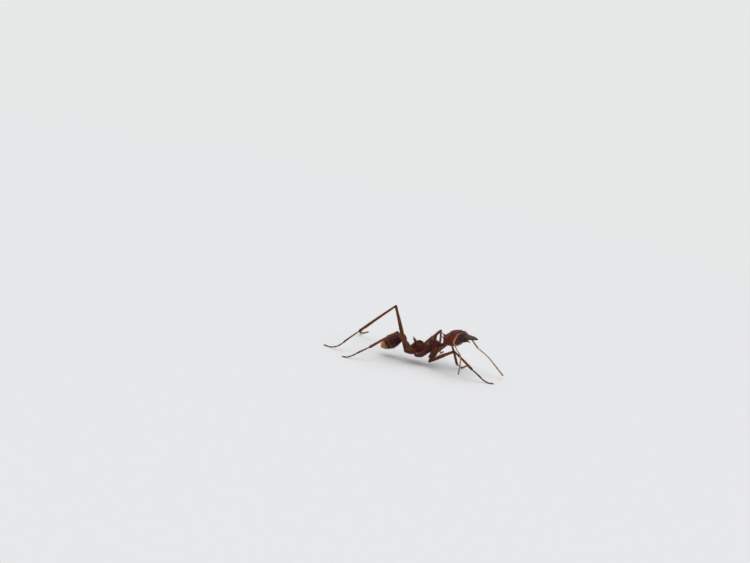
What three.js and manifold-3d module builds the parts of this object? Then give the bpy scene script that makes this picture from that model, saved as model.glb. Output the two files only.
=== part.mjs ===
// A leafcutter ant, a media worker about 10 mm long, standing as a still life-size model.
//
// Millimetres, +Z up. The ant faces +X, its left side is +Y and its six feet stand on Z = 0.
// Body shapes are lofts through a few named stations. Each leg is a chain of segments laid out
// by length, heading and pitch from its hip, and the last joints of every foot lie flat.
// Every segment of the body, of each leg and of each feeler is a closed solid of its own, and
// where one seats in another the outer one is hollowed by the shape of the inner plus CLEARANCE.

import * as THREE from 'three';
import { mergeVertices } from 'three/addons/utils/BufferGeometryUtils.js';
import Module from 'manifold-3d';

const wasm = await Module();
wasm.setup();

// ---------------------------------------------------------------- driving dimensions

const CLEARANCE = 0.03; // space left between two solids that meet
const LIMB_RADIUS = 0.25; // legs and feelers are at least 0.5 mm thick
const RIGHT = -1; // sign of Y on the ant's right side
const LEFT = 1;
const SIDES = { right: RIGHT, left: LEFT };

// Head: its own frame has X forward, Z towards the top of the head, origin at its middle.
const HEAD_CENTRE = new THREE.Vector3(3.15, 0, 3.19);
const HEAD_PITCH = 25; // degrees, face lifted
const HEAD_OUTLINE = [
  // heading from the face round to the back in degrees, distance from the middle
  [0, 1.14],
  [28, 1.24],
  [60, 1.17],
  [90, 1.2],
  [115, 1.29],
  [135, 1.36],
  [152, 1.28],
  [167, 1.03],
  [180, 0.84],
];
const HEAD_TOP = [
  // station along the head, height above its middle
  [-1.25, 0.44],
  [-0.5, 0.6],
  [0.2, 0.72],
  [0.75, 0.62],
  [1.2, 0.36],
];
const HEAD_UNDERSIDE = [
  [-1.25, 0.44],
  [-0.4, 0.64],
  [0.45, 0.69],
  [1.2, 0.36],
];
const OCCIPITAL_GROOVE = 0.3; // share of the height lost along the midline at the back
const NECK = { from: [1.8, 0, 2.17], to: [2.52, 0, 2.55], radius: 0.19 };

const EYE = { at: [0.66, 1.03, -0.04], halfLength: 0.18, halfHeight: 0.145, depth: 0.13 };
const MANDIBLE = { base: [1.07, 0, -0.1], pitch: 6, length: 1.2, thickness: 0.34, teeth: 6 };

// Feelers, each through its joints: socket, bend of the scape, elbow, then the funiculus.
const FEELERS = {
  right: {
    scape: [
      [3.68, -0.43, 4.02],
      [3.28, -1.2, 3.84],
      [2.98, -2.75, 3.34],
    ],
    funiculus: [
      [3.02, -2.95, 3.12],
      [3.5, -3.06, 2.72],
      [3.88, -3.06, 2.3],
      [4.05, -3.0, 1.5],
      [4.12, -2.85, 0.6],
    ],
  },
  left: {
    scape: [
      [3.68, 0.43, 4.02],
      [4.14, 1.0, 3.82],
      [5.6, 1.36, 2.5],
    ],
    funiculus: [
      [5.84, 1.4, 2.36],
      [6.66, 1.46, 1.92],
      [7.36, 1.52, 1.38],
      [7.98, 1.5, 0.88],
      [8.46, 1.4, 0.52],
    ],
  },
};

// Thorax stations along X: top, bottom and half width.
const THORAX_STATIONS = [
  [-0.86, 1.48, 1.1, 0.22],
  [-0.6, 1.82, 1.03, 0.33],
  [-0.33, 2.15, 0.99, 0.43],
  [0, 2.19, 1.01, 0.46],
  [0.29, 2.18, 1.05, 0.45],
  [0.57, 2.12, 1.1, 0.42],
  [0.83, 2.11, 1.18, 0.43],
  [1.03, 2.58, 1.25, 0.55],
  [1.24, 2.71, 1.35, 0.65],
  [1.57, 2.65, 1.5, 0.62],
  [1.8, 2.52, 1.69, 0.45],
  [1.96, 2.36, 1.92, 0.24],
];
const THORAX_PIECES = {
  // from, to, rings
  propodeum: [-0.86, 0.4, 7],
  mesothorax: [0.43, 1.13, 6],
  pronotum: [1.16, 1.96, 7],
};
const THORAX_SPINES = {
  // root and tip on the left side, radius at the root
  pronotum: { root: [1.3, 0.44, 2.45], tip: [1.44, 0.6, 3.42], radius: 0.13 },
  mesothorax: { root: [0.98, 0.3, 2.3], tip: [0.93, 0.4, 2.86], radius: 0.1 },
  propodeum: { root: [-0.28, 0.26, 1.95], tip: [-0.74, 0.48, 2.42], radius: 0.11 },
};
const HEAD_SPINE = { root: [-0.86, 0.74, 0.3], tip: [-1.12, 0.86, 0.66], radius: 0.09 };

// Waist and gaster: stations along their own axes, half width and half height.
const PETIOLE = {
  from: [-0.92, 0, 1.3],
  to: [-1.28, 0, 1.78],
  stations: [
    [0, 0.15, 0.14],
    [0.3, 0.2, 0.18],
    [0.65, 0.29, 0.24],
    [1, 0.2, 0.17],
  ],
};
const POSTPETIOLE = {
  from: [-1.31, 0, 1.83],
  to: [-1.74, 0, 2.36],
  stations: [
    [0, 0.22, 0.16],
    [0.35, 0.44, 0.26],
    [0.7, 0.48, 0.28],
    [1, 0.36, 0.21],
  ],
};
const GASTER = {
  from: [-1.72, 0, 2.33],
  to: [-3.46, 0, 0.79],
  base: [
    [0, 0.2, 0.16],
    [0.07, 0.42, 0.36],
    [0.2, 0.68, 0.54],
    [0.4, 0.84, 0.66],
    [0.58, 0.83, 0.66],
    [0.73, 0.7, 0.56],
  ],
  tip: [
    [0.745, 0.66, 0.53],
    [0.86, 0.48, 0.39],
    [0.95, 0.26, 0.22],
    [1, 0.09, 0.08],
  ],
};

// Legs: segment lengths and radii are the same left and right, hips are mirrored.
const LEG_PAIRS = {
  fore: { hip: [1.75, 0.52, 1.97], coxa: 1.25, trochanter: 0.22, femur: 2.92, tibia: 2.4, tarsus: 2.6 },
  mid: { hip: [0.68, 0.45, 1.24], coxa: 0.9, trochanter: 0.21, femur: 3.38, tibia: 3.04, tarsus: 2.63 },
  hind: { hip: [-0.19, 0.45, 1.24], coxa: 1.0, trochanter: 0.22, femur: 4.67, tibia: 4.15, tarsus: 3.9 },
};
const COXA_RADIUS = 0.29;
// Each leg's stance: [heading outward from +X, pitch up] in degrees for coxa, trochanter, femur
// and tibia; then the headings of the sloping and the flat part of its foot, and the share of
// the foot that slopes.
const STANCE = {
  fore_right: [[134, -62], [121, -60], [32, 36.5], [-2, -33], -18, -18, 0.7],
  mid_right: [[146, -21], [137, 30], [144, 37], [151, -34.5], 161, 159, 0.78],
  hind_right: [[157, -10], [135, 43], [146, 62.5], [176, -47.5], -168, -158, 0.72],
  fore_left: [[134, -62], [121, -60], [46, 32], [-50, -48], 42, 72, 0.27],
  mid_left: [[146, -21], [77, 29], [48, 36], [81, -44], 80, 74, 0.6],
  hind_left: [[157, -10], [133, 32], [117.7, 39.5], [153, -47.2], 102, 66, 0.5],
};
const SOLE_HEIGHT = 0.22; // middle of a foot's flat part, a little under LIMB_RADIUS

// ---------------------------------------------------------------- finishes

const finish = (color, roughness) => new THREE.MeshStandardMaterial({ color, roughness, metalness: 0 });
const FINISHES = {
  head: () => finish(0x4a1a1c, 0.35),
  body: () => finish(0x571c17, 0.4),
  gaster: () => finish(0x4a1414, 0.4),
  gasterTip: () => finish(0xb0662a, 0.45),
  leg: () => finish(0x8a4716, 0.45),
  eye: () => finish(0x0c0a0b, 0.25),
  mandible: () => finish(0x3a1512, 0.35),
};

// ---------------------------------------------------------------- shape helpers

const radians = THREE.MathUtils.degToRad;
const point = ([x, y, z]) => new THREE.Vector3(x, y, z);
const mirrored = ([x, y, z], side) => new THREE.Vector3(x, y * side, z);

// A smooth value at x through rows that start with their position and rise along it.
function through(rows, x, column = 1) {
  const last = rows.length - 1;
  const at = THREE.MathUtils.clamp(x, rows[0][0], rows[last][0]);
  let i = 0;
  while (i < last - 1 && at > rows[i + 1][0]) i += 1;
  const slope = (k) => {
    const before = rows[Math.max(k - 1, 0)];
    const after = rows[Math.min(k + 1, last)];
    return (after[column] - before[column]) / (after[0] - before[0]);
  };
  const span = rows[i + 1][0] - rows[i][0];
  const u = (at - rows[i][0]) / span;
  const ease = u * u * (3 - 2 * u);
  const start = u * (1 - u) * (1 - u) * span * slope(i);
  const end = u * u * (u - 1) * span * slope(i + 1);
  return rows[i][column] * (1 - ease) + rows[i + 1][column] * ease + start + end;
}

// A closed skin over equal rings of points, each end closed by a fan to its pole.
function skin(rings, firstPole, lastPole) {
  const count = rings[0].length;
  const positions = [firstPole, ...rings.flat(), lastPole].flatMap((p) => p.toArray());
  const index = [];
  const vertex = (ring, k) => 1 + ring * count + (k % count);
  const endVertex = 1 + rings.length * count;
  for (let k = 0; k < count; k += 1) {
    index.push(0, vertex(0, k + 1), vertex(0, k));
    index.push(endVertex, vertex(rings.length - 1, k), vertex(rings.length - 1, k + 1));
    for (let ring = 0; ring < rings.length - 1; ring += 1) {
      index.push(vertex(ring, k), vertex(ring, k + 1), vertex(ring + 1, k + 1));
      index.push(vertex(ring, k), vertex(ring + 1, k + 1), vertex(ring + 1, k));
    }
  }
  const geometry = new THREE.BufferGeometry();
  geometry.setAttribute('position', new THREE.Float32BufferAttribute(positions, 3));
  geometry.setIndex(index);
  return geometry;
}

// A ring round an axis; across and up are its two half-diameter vectors, across × up looks
// along the axis. Squareness 1 is an ellipse, less is boxier.
function ring(centre, across, up, count, squareness = 1) {
  const bulge = (v) => Math.sign(v) * Math.abs(v) ** squareness;
  return Array.from({ length: count }, (_, k) => {
    const turn = (2 * Math.PI * k) / count;
    return centre
      .clone()
      .addScaledVector(across, bulge(Math.cos(turn)))
      .addScaledVector(up, bulge(Math.sin(turn)));
  });
}

// A round limb along a path of points, with a radius at each point and rounded ends.
function limb(path, radii, count = 8) {
  const CAP_ANGLES = [60, 25].map(radians);
  const tangents = path.map((p, i) => {
    const before = path[Math.max(i - 1, 0)];
    const after = path[Math.min(i + 1, path.length - 1)];
    return after.clone().sub(before).normalize();
  });
  const stations = path.map((at, i) => ({ at, radius: radii[i], along: tangents[i] }));
  const cap = (i, direction) =>
    CAP_ANGLES.map((angle) => ({
      at: path[i].clone().addScaledVector(tangents[i], direction * radii[i] * Math.sin(angle)),
      radius: radii[i] * Math.cos(angle),
      along: tangents[i],
    }));
  const end = path.length - 1;
  const all = [...cap(0, -1), ...stations, ...cap(end, 1).reverse()];
  let across = new THREE.Vector3(0, 0, 1).cross(tangents[0]).normalize();
  const rings = all.map(({ at, radius, along }) => {
    across = across.clone().addScaledVector(along, -across.dot(along)).normalize();
    const up = along.clone().cross(across);
    return ring(at, across.clone().multiplyScalar(radius), up.multiplyScalar(radius), count);
  });
  const firstPole = path[0].clone().addScaledVector(tangents[0], -radii[0]);
  const lastPole = path[end].clone().addScaledVector(tangents[end], radii[end]);
  return skin(rings, firstPole, lastPole);
}

// A body segment along a straight axis in the plane Y = 0, through [share, half width, half
// height] stations, grown all round by extra.
function segment({ from, to }, stations, { ringCount, count = 20, squareness = 0.92, extra = 0 }) {
  const start = point(from);
  const axis = point(to).sub(start);
  const along = axis.clone().normalize();
  const across = new THREE.Vector3(0, 1, 0);
  const up = along.clone().cross(across);
  const first = stations[0][0];
  const last = stations.at(-1)[0];
  const at = (share, offset) => start.clone().addScaledVector(axis, share).addScaledVector(along, offset);
  const rings = Array.from({ length: ringCount }, (_, i) => {
    const share = first + ((last - first) * i) / (ringCount - 1);
    const width = through(stations, share, 1) + extra;
    const height = through(stations, share, 2) + extra;
    const offset = extra * (i === 0 ? -1 : Number(i === ringCount - 1));
    const halfWidth = across.clone().multiplyScalar(width);
    const halfHeight = up.clone().multiplyScalar(height);
    return ring(at(share, offset), halfWidth, halfHeight, count, squareness);
  });
  return skin(rings, at(first, -extra), at(last, extra));
}

// A library shape with its shared vertices joined, ready to be cut.
function welded(geometry) {
  geometry.deleteAttribute('normal');
  geometry.deleteAttribute('uv');
  return mergeVertices(geometry, 1e-4);
}

const spine = (root, tip, radius) => limb([root, tip], [radius, 0.03], 7);

// ---------------------------------------------------------------- joining and hollowing

function solid(geometry) {
  const mesh = new wasm.Mesh({
    numProp: 3,
    vertProperties: new Float32Array(geometry.attributes.position.array),
    triVerts: new Uint32Array(geometry.index.array),
  });
  return new wasm.Manifold(mesh);
}

function geometryOf(manifold) {
  const mesh = manifold.getMesh();
  const geometry = new THREE.BufferGeometry();
  geometry.setAttribute('position', new THREE.BufferAttribute(mesh.vertProperties, 3));
  geometry.setIndex(new THREE.BufferAttribute(mesh.triVerts, 1));
  geometry.computeVertexNormals();
  return geometry;
}

const joined = (base, ...additions) =>
  geometryOf(additions.reduce((whole, g) => whole.add(solid(g)), solid(base)));
const hollowed = (base, ...seats) =>
  geometryOf(seats.reduce((whole, g) => whole.subtract(solid(g)), solid(base)));

// ---------------------------------------------------------------- body

const headFrame = new THREE.Matrix4()
  .makeRotationY(-radians(HEAD_PITCH))
  .setPosition(HEAD_CENTRE);
const inHead = (p) => p.clone().applyMatrix4(headFrame);

function headGeometry() {
  const LATITUDES = 9;
  const LONGITUDES = 30;
  const rounding = (v) => Math.sign(v) * Math.abs(v) ** 0.85;
  const rings = Array.from({ length: LATITUDES }, (_, i) => {
    const latitude = radians(-90 + (180 * (i + 1)) / (LATITUDES + 1));
    return Array.from({ length: LONGITUDES }, (_unused, k) => {
      const heading = (360 * k) / LONGITUDES;
      const reach = through(HEAD_OUTLINE, Math.min(heading, 360 - heading)) * rounding(Math.cos(latitude));
      const x = reach * Math.cos(radians(heading));
      const y = reach * Math.sin(radians(heading));
      const height = through(latitude > 0 ? HEAD_TOP : HEAD_UNDERSIDE, x);
      const behind = THREE.MathUtils.smoothstep(-x, 0, 0.8);
      const groove = 1 - OCCIPITAL_GROOVE * behind * Math.exp(-((y / 0.35) ** 2));
      return inHead(new THREE.Vector3(x, y, height * groove * rounding(Math.sin(latitude))));
    });
  });
  const bottom = inHead(new THREE.Vector3(0, 0, -through(HEAD_UNDERSIDE, 0)));
  const top = inHead(new THREE.Vector3(0, 0, through(HEAD_TOP, 0)));
  return skin(rings, bottom, top);
}

function eyeGeometry(side, extra = 0) {
  const geometry = welded(new THREE.SphereGeometry(1, 12, 8));
  geometry.rotateX(Math.PI / 2);
  geometry.scale(EYE.halfLength + extra, EYE.depth + extra, EYE.halfHeight + extra);
  geometry.rotateZ(radians(-22 * side));
  const at = mirrored(EYE.at, side);
  geometry.translate(at.x, at.y, at.z);
  return geometry.applyMatrix4(headFrame);
}

// A plate of the given outline, thinner round its rim, closed by flat triangulated faces.
function plate(outline, thickness) {
  const RIM_SHARE = 0.45;
  const centre = outline.reduce((sum, p) => sum.add(p), new THREE.Vector2()).divideScalar(outline.length);
  const layer = (height, shrink) =>
    outline.map((p) => {
      const q = p.clone().lerp(centre, shrink);
      return new THREE.Vector3(q.x, q.y, height);
    });
  const half = thickness / 2;
  const rim = half * RIM_SHARE;
  const layers = [layer(-half, 0.12), layer(-rim, 0), layer(rim, 0), layer(half, 0.12)];
  const count = outline.length;
  const index = THREE.ShapeUtils.triangulateShape(outline, []).flatMap(([a, b, c]) => [
    ...[a, c, b],
    ...[a, b, c].map((k) => k + 3 * count),
  ]);
  for (let level = 0; level < 3; level += 1) {
    for (let k = 0; k < count; k += 1) {
      const here = level * count + k;
      const next = level * count + ((k + 1) % count);
      index.push(here, next, next + count, here, next + count, here + count);
    }
  }
  const positions = layers.flat().flatMap((p) => p.toArray());
  const geometry = new THREE.BufferGeometry();
  geometry.setAttribute('position', new THREE.Float32BufferAttribute(positions, 3));
  geometry.setIndex(index);
  return geometry;
}

// A toothed triangular blade: outer edge bowed, inner edge cut into teeth towards the tip.
function mandibleGeometry(side, extra = 0) {
  const { length, thickness, teeth } = MANDIBLE;
  const bow = new THREE.QuadraticBezierCurve(
    new THREE.Vector2(length, 0.12),
    new THREE.Vector2(0.62 * length, 0.86 + extra),
    new THREE.Vector2(-0.1, 0.8 + extra),
  );
  const corner = new THREE.Vector2(0.5, 0.1);
  const apex = new THREE.Vector2(length, 0.12);
  const outline = [...bow.getPoints(6), new THREE.Vector2(-0.1, 0.36 - extra), corner];
  for (let tooth = teeth - 1; tooth > 0; tooth -= 1) {
    const notch = apex.clone().lerp(corner, (tooth + 0.6) / teeth);
    outline.push(notch.setY(notch.y + 0.07));
    outline.push(apex.clone().lerp(corner, tooth / teeth));
  }
  const geometry = plate(outline, thickness + 2 * extra);
  if (side === RIGHT) geometry.rotateX(Math.PI);
  const base = inHead(point(MANDIBLE.base));
  geometry.rotateY(-radians(MANDIBLE.pitch));
  return geometry.translate(base.x, base.y, base.z);
}

const neckGeometry = (extra = 0) =>
  limb([point(NECK.from), point(NECK.to)], [NECK.radius + extra, NECK.radius + extra], 10);

function thoraxPiece(name) {
  const [from, to, ringCount] = THORAX_PIECES[name];
  const top = (x) => through(THORAX_STATIONS, x, 1);
  const bottom = (x) => through(THORAX_STATIONS, x, 2);
  const middle = (x) => new THREE.Vector3(x, 0, (top(x) + bottom(x)) / 2);
  const rings = Array.from({ length: ringCount }, (_, i) => {
    const x = from + ((to - from) * i) / (ringCount - 1);
    const halfHeight = (top(x) - bottom(x)) / 2;
    const across = new THREE.Vector3(0, through(THORAX_STATIONS, x, 3), 0);
    return ring(middle(x), across, new THREE.Vector3(0, 0, halfHeight), 20, 0.85);
  });
  const { root, tip, radius } = THORAX_SPINES[name];
  const spines = [LEFT, RIGHT].map((side) => spine(mirrored(root, side), mirrored(tip, side), radius));
  const body = skin(rings, middle(from), middle(to));
  return joined(body, ...spines, ...(name === 'pronotum' ? [neckGeometry()] : []));
}

// ---------------------------------------------------------------- legs

function direction(heading, pitch, side) {
  const level = Math.cos(radians(pitch));
  const outward = Math.sin(radians(heading)) * side;
  return new THREE.Vector3(level * Math.cos(radians(heading)), level * outward, Math.sin(radians(pitch)));
}

function legJoints(pair, stance, side) {
  const lengths = LEG_PAIRS[pair];
  const [coxa, trochanter, femur, tibia, slopeHeading, flatHeading, slopeShare] = stance;
  const step = (from, length, [heading, pitch]) =>
    from.clone().addScaledVector(direction(heading, pitch, side), length);
  const hip = mirrored(lengths.hip, side);
  const coxaEnd = step(hip, lengths.coxa, coxa);
  const trochanterEnd = step(coxaEnd, lengths.trochanter, trochanter);
  const knee = step(trochanterEnd, lengths.femur, femur);
  const ankle = step(knee, lengths.tibia, tibia);
  const slope = lengths.tarsus * slopeShare;
  const drop = THREE.MathUtils.radToDeg(Math.asin((ankle.z - SOLE_HEIGHT) / slope));
  const heel = step(ankle, slope, [slopeHeading, -drop]);
  const toe = step(heel, lengths.tarsus - slope, [flatHeading, 0]);
  return { hip, coxaEnd, trochanterEnd, knee, ankle, heel, toe };
}

// A coxa swells a little above its middle and narrows to the joint.
const coxaGeometry = ({ hip, coxaEnd }, extra = 0) =>
  limb(
    [hip, hip.clone().lerp(coxaEnd, 0.4), coxaEnd],
    [COXA_RADIUS, COXA_RADIUS + 0.02, COXA_RADIUS - 0.02].map((radius) => radius + extra),
  );

function limbGeometry(path, extra = 0) {
  return limb(path, path.map(() => LIMB_RADIUS + extra));
}

// The foot is cut level under its flat part.
function tarsusGeometry({ ankle, heel, toe }, tibia) {
  const FLOOR_SLAB = 4;
  const foot = solid(limbGeometry([ankle, heel, toe])).subtract(solid(tibia));
  const floor = welded(new THREE.BoxGeometry(FLOOR_SLAB * 2, FLOOR_SLAB * 2, FLOOR_SLAB));
  floor.translate(heel.x, heel.y, -FLOOR_SLAB / 2);
  return geometryOf(foot.subtract(solid(floor)));
}

// ---------------------------------------------------------------- assembly

const ant = new THREE.Group();

function add(name, geometry, material) {
  const mesh = new THREE.Mesh(geometry, material);
  mesh.name = name;
  ant.add(mesh);
}

const legs = Object.entries(STANCE).map(([name, stance]) => {
  const [pair, sideName] = name.split('_');
  return { name, joints: legJoints(pair, stance, SIDES[sideName]) };
});
const coxaSeats = legs.map(({ joints }) => coxaGeometry(joints, CLEARANCE));

for (const name of Object.keys(THORAX_PIECES)) {
  add(name, hollowed(thoraxPiece(name), ...coxaSeats), FINISHES.body());
}

for (const { name, joints } of legs) {
  const { coxaEnd, trochanterEnd, knee, ankle } = joints;
  add(`coxa_${name}`, coxaGeometry(joints), FINISHES.body());
  const femurPath = [coxaEnd, trochanterEnd, knee];
  add(`femur_${name}`, hollowed(limbGeometry(femurPath), coxaGeometry(joints, CLEARANCE)), FINISHES.leg());
  const tibia = hollowed(limbGeometry([knee, ankle]), limbGeometry(femurPath, CLEARANCE));
  add(`tibia_${name}`, tibia, FINISHES.leg());
  add(`tarsus_${name}`, tarsusGeometry(joints, limbGeometry([knee, ankle], CLEARANCE)), FINISHES.leg());
}

const headSeats = [neckGeometry(CLEARANCE)];
for (const [sideName, side] of Object.entries(SIDES)) {
  const { scape, funiculus } = FEELERS[sideName];
  const scapePath = scape.map(point);
  const funiculusPath = funiculus.map(point);
  const basal = funiculusPath.slice(0, 3);
  const apical = funiculusPath.slice(2);
  add(`scape_${sideName}`, limbGeometry(scapePath), FINISHES.leg());
  add(
    `funiculus_base_${sideName}`,
    hollowed(limbGeometry(basal), limbGeometry(scapePath, CLEARANCE)),
    FINISHES.leg(),
  );
  add(
    `funiculus_tip_${sideName}`,
    hollowed(limbGeometry(apical), limbGeometry(basal, CLEARANCE)),
    FINISHES.leg(),
  );
  add(`eye_${sideName}`, eyeGeometry(side), FINISHES.eye());
  headSeats.push(limbGeometry(scapePath, CLEARANCE), eyeGeometry(side, CLEARANCE));
}
for (const [sideName, side] of Object.entries(SIDES)) {
  add(`mandible_${sideName}`, hollowed(mandibleGeometry(side), ...headSeats.slice(1)), FINISHES.mandible());
  headSeats.push(mandibleGeometry(side, CLEARANCE));
}
const headSpines = [LEFT, RIGHT].map((side) =>
  spine(inHead(mirrored(HEAD_SPINE.root, side)), inHead(mirrored(HEAD_SPINE.tip, side)), HEAD_SPINE.radius),
);
add('head', hollowed(joined(headGeometry(), ...headSpines), ...headSeats), FINISHES.head());

const petiole = (extra) => segment(PETIOLE, PETIOLE.stations, { ringCount: 6, count: 14, extra });
const postpetiole = (extra) => segment(POSTPETIOLE, POSTPETIOLE.stations, { ringCount: 7, extra });
const gaster = segment(GASTER, GASTER.base, { ringCount: 10, count: 24 });
add('petiole', petiole(0), FINISHES.body());
add('postpetiole', hollowed(postpetiole(0), petiole(CLEARANCE)), FINISHES.body());
add('gaster', hollowed(gaster, postpetiole(CLEARANCE)), FINISHES.gaster());
add('gaster_tip', segment(GASTER, GASTER.tip, { ringCount: 6, count: 24 }), FINISHES.gasterTip());

// The origin is under the middle of the whole ant, on the floor.
const bounds = new THREE.Box3().setFromObject(ant);
const middle = bounds.getCenter(new THREE.Vector3());
ant.position.set(-middle.x, -middle.y, -bounds.min.z);

export default ant;
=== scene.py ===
# A leafcutter ant, a media worker about 10 mm long, as a still life-size model.
#
# Every shape is worked out in millimetres in the ant's own frame (it faces +X, its left side is
# +Y, its feet stand on Z = 0) and is moved into the frame of the solids as its mesh is made.
# The hard skin of each body part is one closed surface. Bristles are thin tapered meshes rooted
# in it, and they lie the way the skin's own `run` points.

from math import asin, cos, degrees, pi, radians, sin, tau

import bmesh
import bpy
import numpy as np
from mathutils import Matrix, Vector


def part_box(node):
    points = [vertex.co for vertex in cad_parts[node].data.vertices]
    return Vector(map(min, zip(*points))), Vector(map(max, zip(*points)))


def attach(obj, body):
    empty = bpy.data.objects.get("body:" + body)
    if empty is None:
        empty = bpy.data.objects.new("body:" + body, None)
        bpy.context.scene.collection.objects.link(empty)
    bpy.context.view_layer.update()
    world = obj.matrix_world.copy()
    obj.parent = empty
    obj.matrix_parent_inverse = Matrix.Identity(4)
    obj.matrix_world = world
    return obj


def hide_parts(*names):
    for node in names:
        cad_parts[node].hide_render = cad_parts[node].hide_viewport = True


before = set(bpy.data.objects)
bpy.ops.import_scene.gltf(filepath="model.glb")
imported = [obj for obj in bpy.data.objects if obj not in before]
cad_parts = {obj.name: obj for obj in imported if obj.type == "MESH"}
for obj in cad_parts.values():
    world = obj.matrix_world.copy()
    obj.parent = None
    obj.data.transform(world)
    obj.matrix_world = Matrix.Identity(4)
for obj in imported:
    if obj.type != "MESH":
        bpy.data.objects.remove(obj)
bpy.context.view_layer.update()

# ------------------------------------------------------------------ sizes, in millimetres

MM = 0.001
SIDES = {"right": -1, "left": 1}
Y_AXIS = np.array((0.0, 1.0, 0.0))
Z_AXIS = np.array((0.0, 0.0, 1.0))

# Head: its own frame has X forward, Z towards the top of the head, origin at its middle.
HEAD_CENTRE = np.array((3.15, 0.0, 3.19))
HEAD_PITCH = 25
HEAD_OUTLINE = [  # heading from the face round to the back, distance from the middle
    (0, 1.12),
    (28, 1.22),
    (60, 1.15),
    (90, 1.18),
    (115, 1.27),
    (135, 1.34),
    (152, 1.26),
    (167, 1.01),
    (180, 0.82),
]
HEAD_TOP = [(-1.25, 0.42), (-0.5, 0.58), (0.2, 0.7), (0.75, 0.6), (1.2, 0.34)]  # x, height over the middle
HEAD_UNDERSIDE = [(-1.25, 0.42), (-0.4, 0.62), (0.45, 0.67), (1.2, 0.34)]  # x, depth under the middle
EYE_AT = (0.66, 1.03, -0.04)
EYE_HALF = (0.18, 0.13, 0.145)
EYE_TURN = -22
EYE_RIM = (0.2, -0.045, 0.168)  # its reach along the head, its depth in it and its reach up
LENS_DOME = 0.028  # how far a lens bulges, where the eye is 1 across its middle
SOCKET = (0.77, 0.47, 0.455)  # of the left feeler
HEAD_SPINES = [  # root and tip on the left side, and thickness
    ((0.25, 0.93, 0.33), (0.18, 1.06, 0.52), 0.045),
    ((-0.86, 0.74, 0.28), (-1.12, 0.86, 0.66), 0.1),
]
FEELERS = {
    "right": {
        "scape": [(3.66, -0.45, 3.95), (3.3, -1.2, 3.82), (2.98, -2.75, 3.34)],
        "lash": [
            (2.985, -2.78, 3.31), (3.5, -3.06, 2.72), (3.88, -3.06, 2.3), (4.05, -3.0, 1.5),
            (4.12, -2.85, 0.5),
        ],
    },
    "left": {
        "scape": [(3.68, 0.45, 3.95), (4.14, 1.0, 3.8), (5.6, 1.36, 2.5)],
        "lash": [
            (5.64, 1.37, 2.47), (6.66, 1.46, 1.92), (7.36, 1.52, 1.38), (7.98, 1.5, 0.88),
            (8.54, 1.38, 0.44),
        ],
    },
}
THORAX_STATIONS = [  # x, top, bottom, half width
    (-0.86, 1.47, 1.11, 0.2),
    (-0.6, 1.8, 1.05, 0.31),
    (-0.33, 2.13, 1.01, 0.41),
    (0, 2.17, 1.03, 0.44),
    (0.29, 2.16, 1.07, 0.43),
    (0.57, 2.1, 1.12, 0.4),
    (0.83, 2.09, 1.2, 0.41),
    (1.03, 2.56, 1.27, 0.53),
    (1.24, 2.69, 1.37, 0.63),
    (1.57, 2.63, 1.52, 0.6),
    (1.8, 2.5, 1.71, 0.43),
    (1.96, 2.34, 1.94, 0.22),
]
THORAX_SPINES = [  # root and tip on the left side, thickness, and how far it bends forward
    ((1.3, 0.44, 2.42), (1.44, 0.6, 3.42), 0.13, 0.03),
    ((0.98, 0.3, 2.28), (0.93, 0.4, 2.86), 0.1),
    ((-0.28, 0.26, 1.93), (-0.74, 0.48, 2.42), 0.12, 0.03),
    ((1.45, 0.52, 1.7), (1.5, 0.69, 1.55), 0.06),
    ((0.64, 0.22, 2.02), (0.58, 0.27, 2.2), 0.055),
]
BREATHING_PORE = (-0.18, 0, 1.86)
GASTER = ((-1.72, 0, 2.33), (-3.46, 0, 0.79))
LEG_PAIRS = {  # hip, then the lengths of coxa, trochanter, femur, tibia and foot
    "fore": ((1.75, 0.52, 1.97), 1.25, 0.22, 2.92, 2.4, 2.6),
    "mid": ((0.68, 0.45, 1.24), 0.9, 0.21, 3.38, 3.04, 2.63),
    "hind": ((-0.19, 0.45, 1.24), 1.0, 0.22, 4.67, 4.15, 3.9),
}
STANCE = {  # heading outward from +X and pitch up of each length; headings and share of the foot
    "fore_right": ((134, -62), (121, -60), (32, 36.5), (-2, -33), -18, -18, 0.7),
    "mid_right": ((146, -21), (137, 30), (144, 37), (151, -34.5), 161, 159, 0.78),
    "hind_right": ((157, -10), (135, 43), (146, 62.5), (176, -47.5), -168, -158, 0.72),
    "fore_left": ((134, -62), (121, -60), (46, 32), (-50, -48), 42, 72, 0.27),
    "mid_left": ((146, -21), (77, 29), (48, 36), (81, -44), 80, 74, 0.6),
    "hind_left": ((157, -10), (133, 32), (117.7, 39.5), (153, -47.2), 102, 66, 0.5),
}
SOLE_HEIGHT = 0.22  # middle of the foot's solid where it lies flat
FLOOR_GAP = 0.003
BODY_VOXEL = 0.0155  # the fineness with which the skins are fused
WAIST_VOXEL = 0.0125


def spun(p, angle, first, second):
    """Points turned by an angle in degrees that swings one axis towards another."""
    p = np.array(p, float)
    c, s = cos(radians(angle)), sin(radians(angle))
    a, b = p[..., first].copy(), p[..., second].copy()
    p[..., first] = a * c - b * s
    p[..., second] = a * s + b * c
    return p


def yawed(p, angle):
    return spun(p, angle, 0, 1)


def rolled(p, angle):
    return spun(p, angle, 1, 2)


def pitched(p, angle):
    return spun(p, angle, 0, 2)


def head_point(p):
    return pitched(p, HEAD_PITCH) + HEAD_CENTRE


def head_local(p):
    return pitched(p - HEAD_CENTRE, -HEAD_PITCH)


def eye_place(side):
    return np.array(EYE_AT) * (1, side, 1)


def solid_middle(node):
    low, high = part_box(node)
    return np.array((low + high) / 2) / MM


# The ant's own frame sits in the frame of the solids where its two eyes say.
EYES_MIDDLE = (solid_middle("eye_right") + solid_middle("eye_left")) / 2
ORIGIN = EYES_MIDDLE - head_point((EYE_AT[0], 0, EYE_AT[2]))

# ------------------------------------------------------------------ camera

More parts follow.
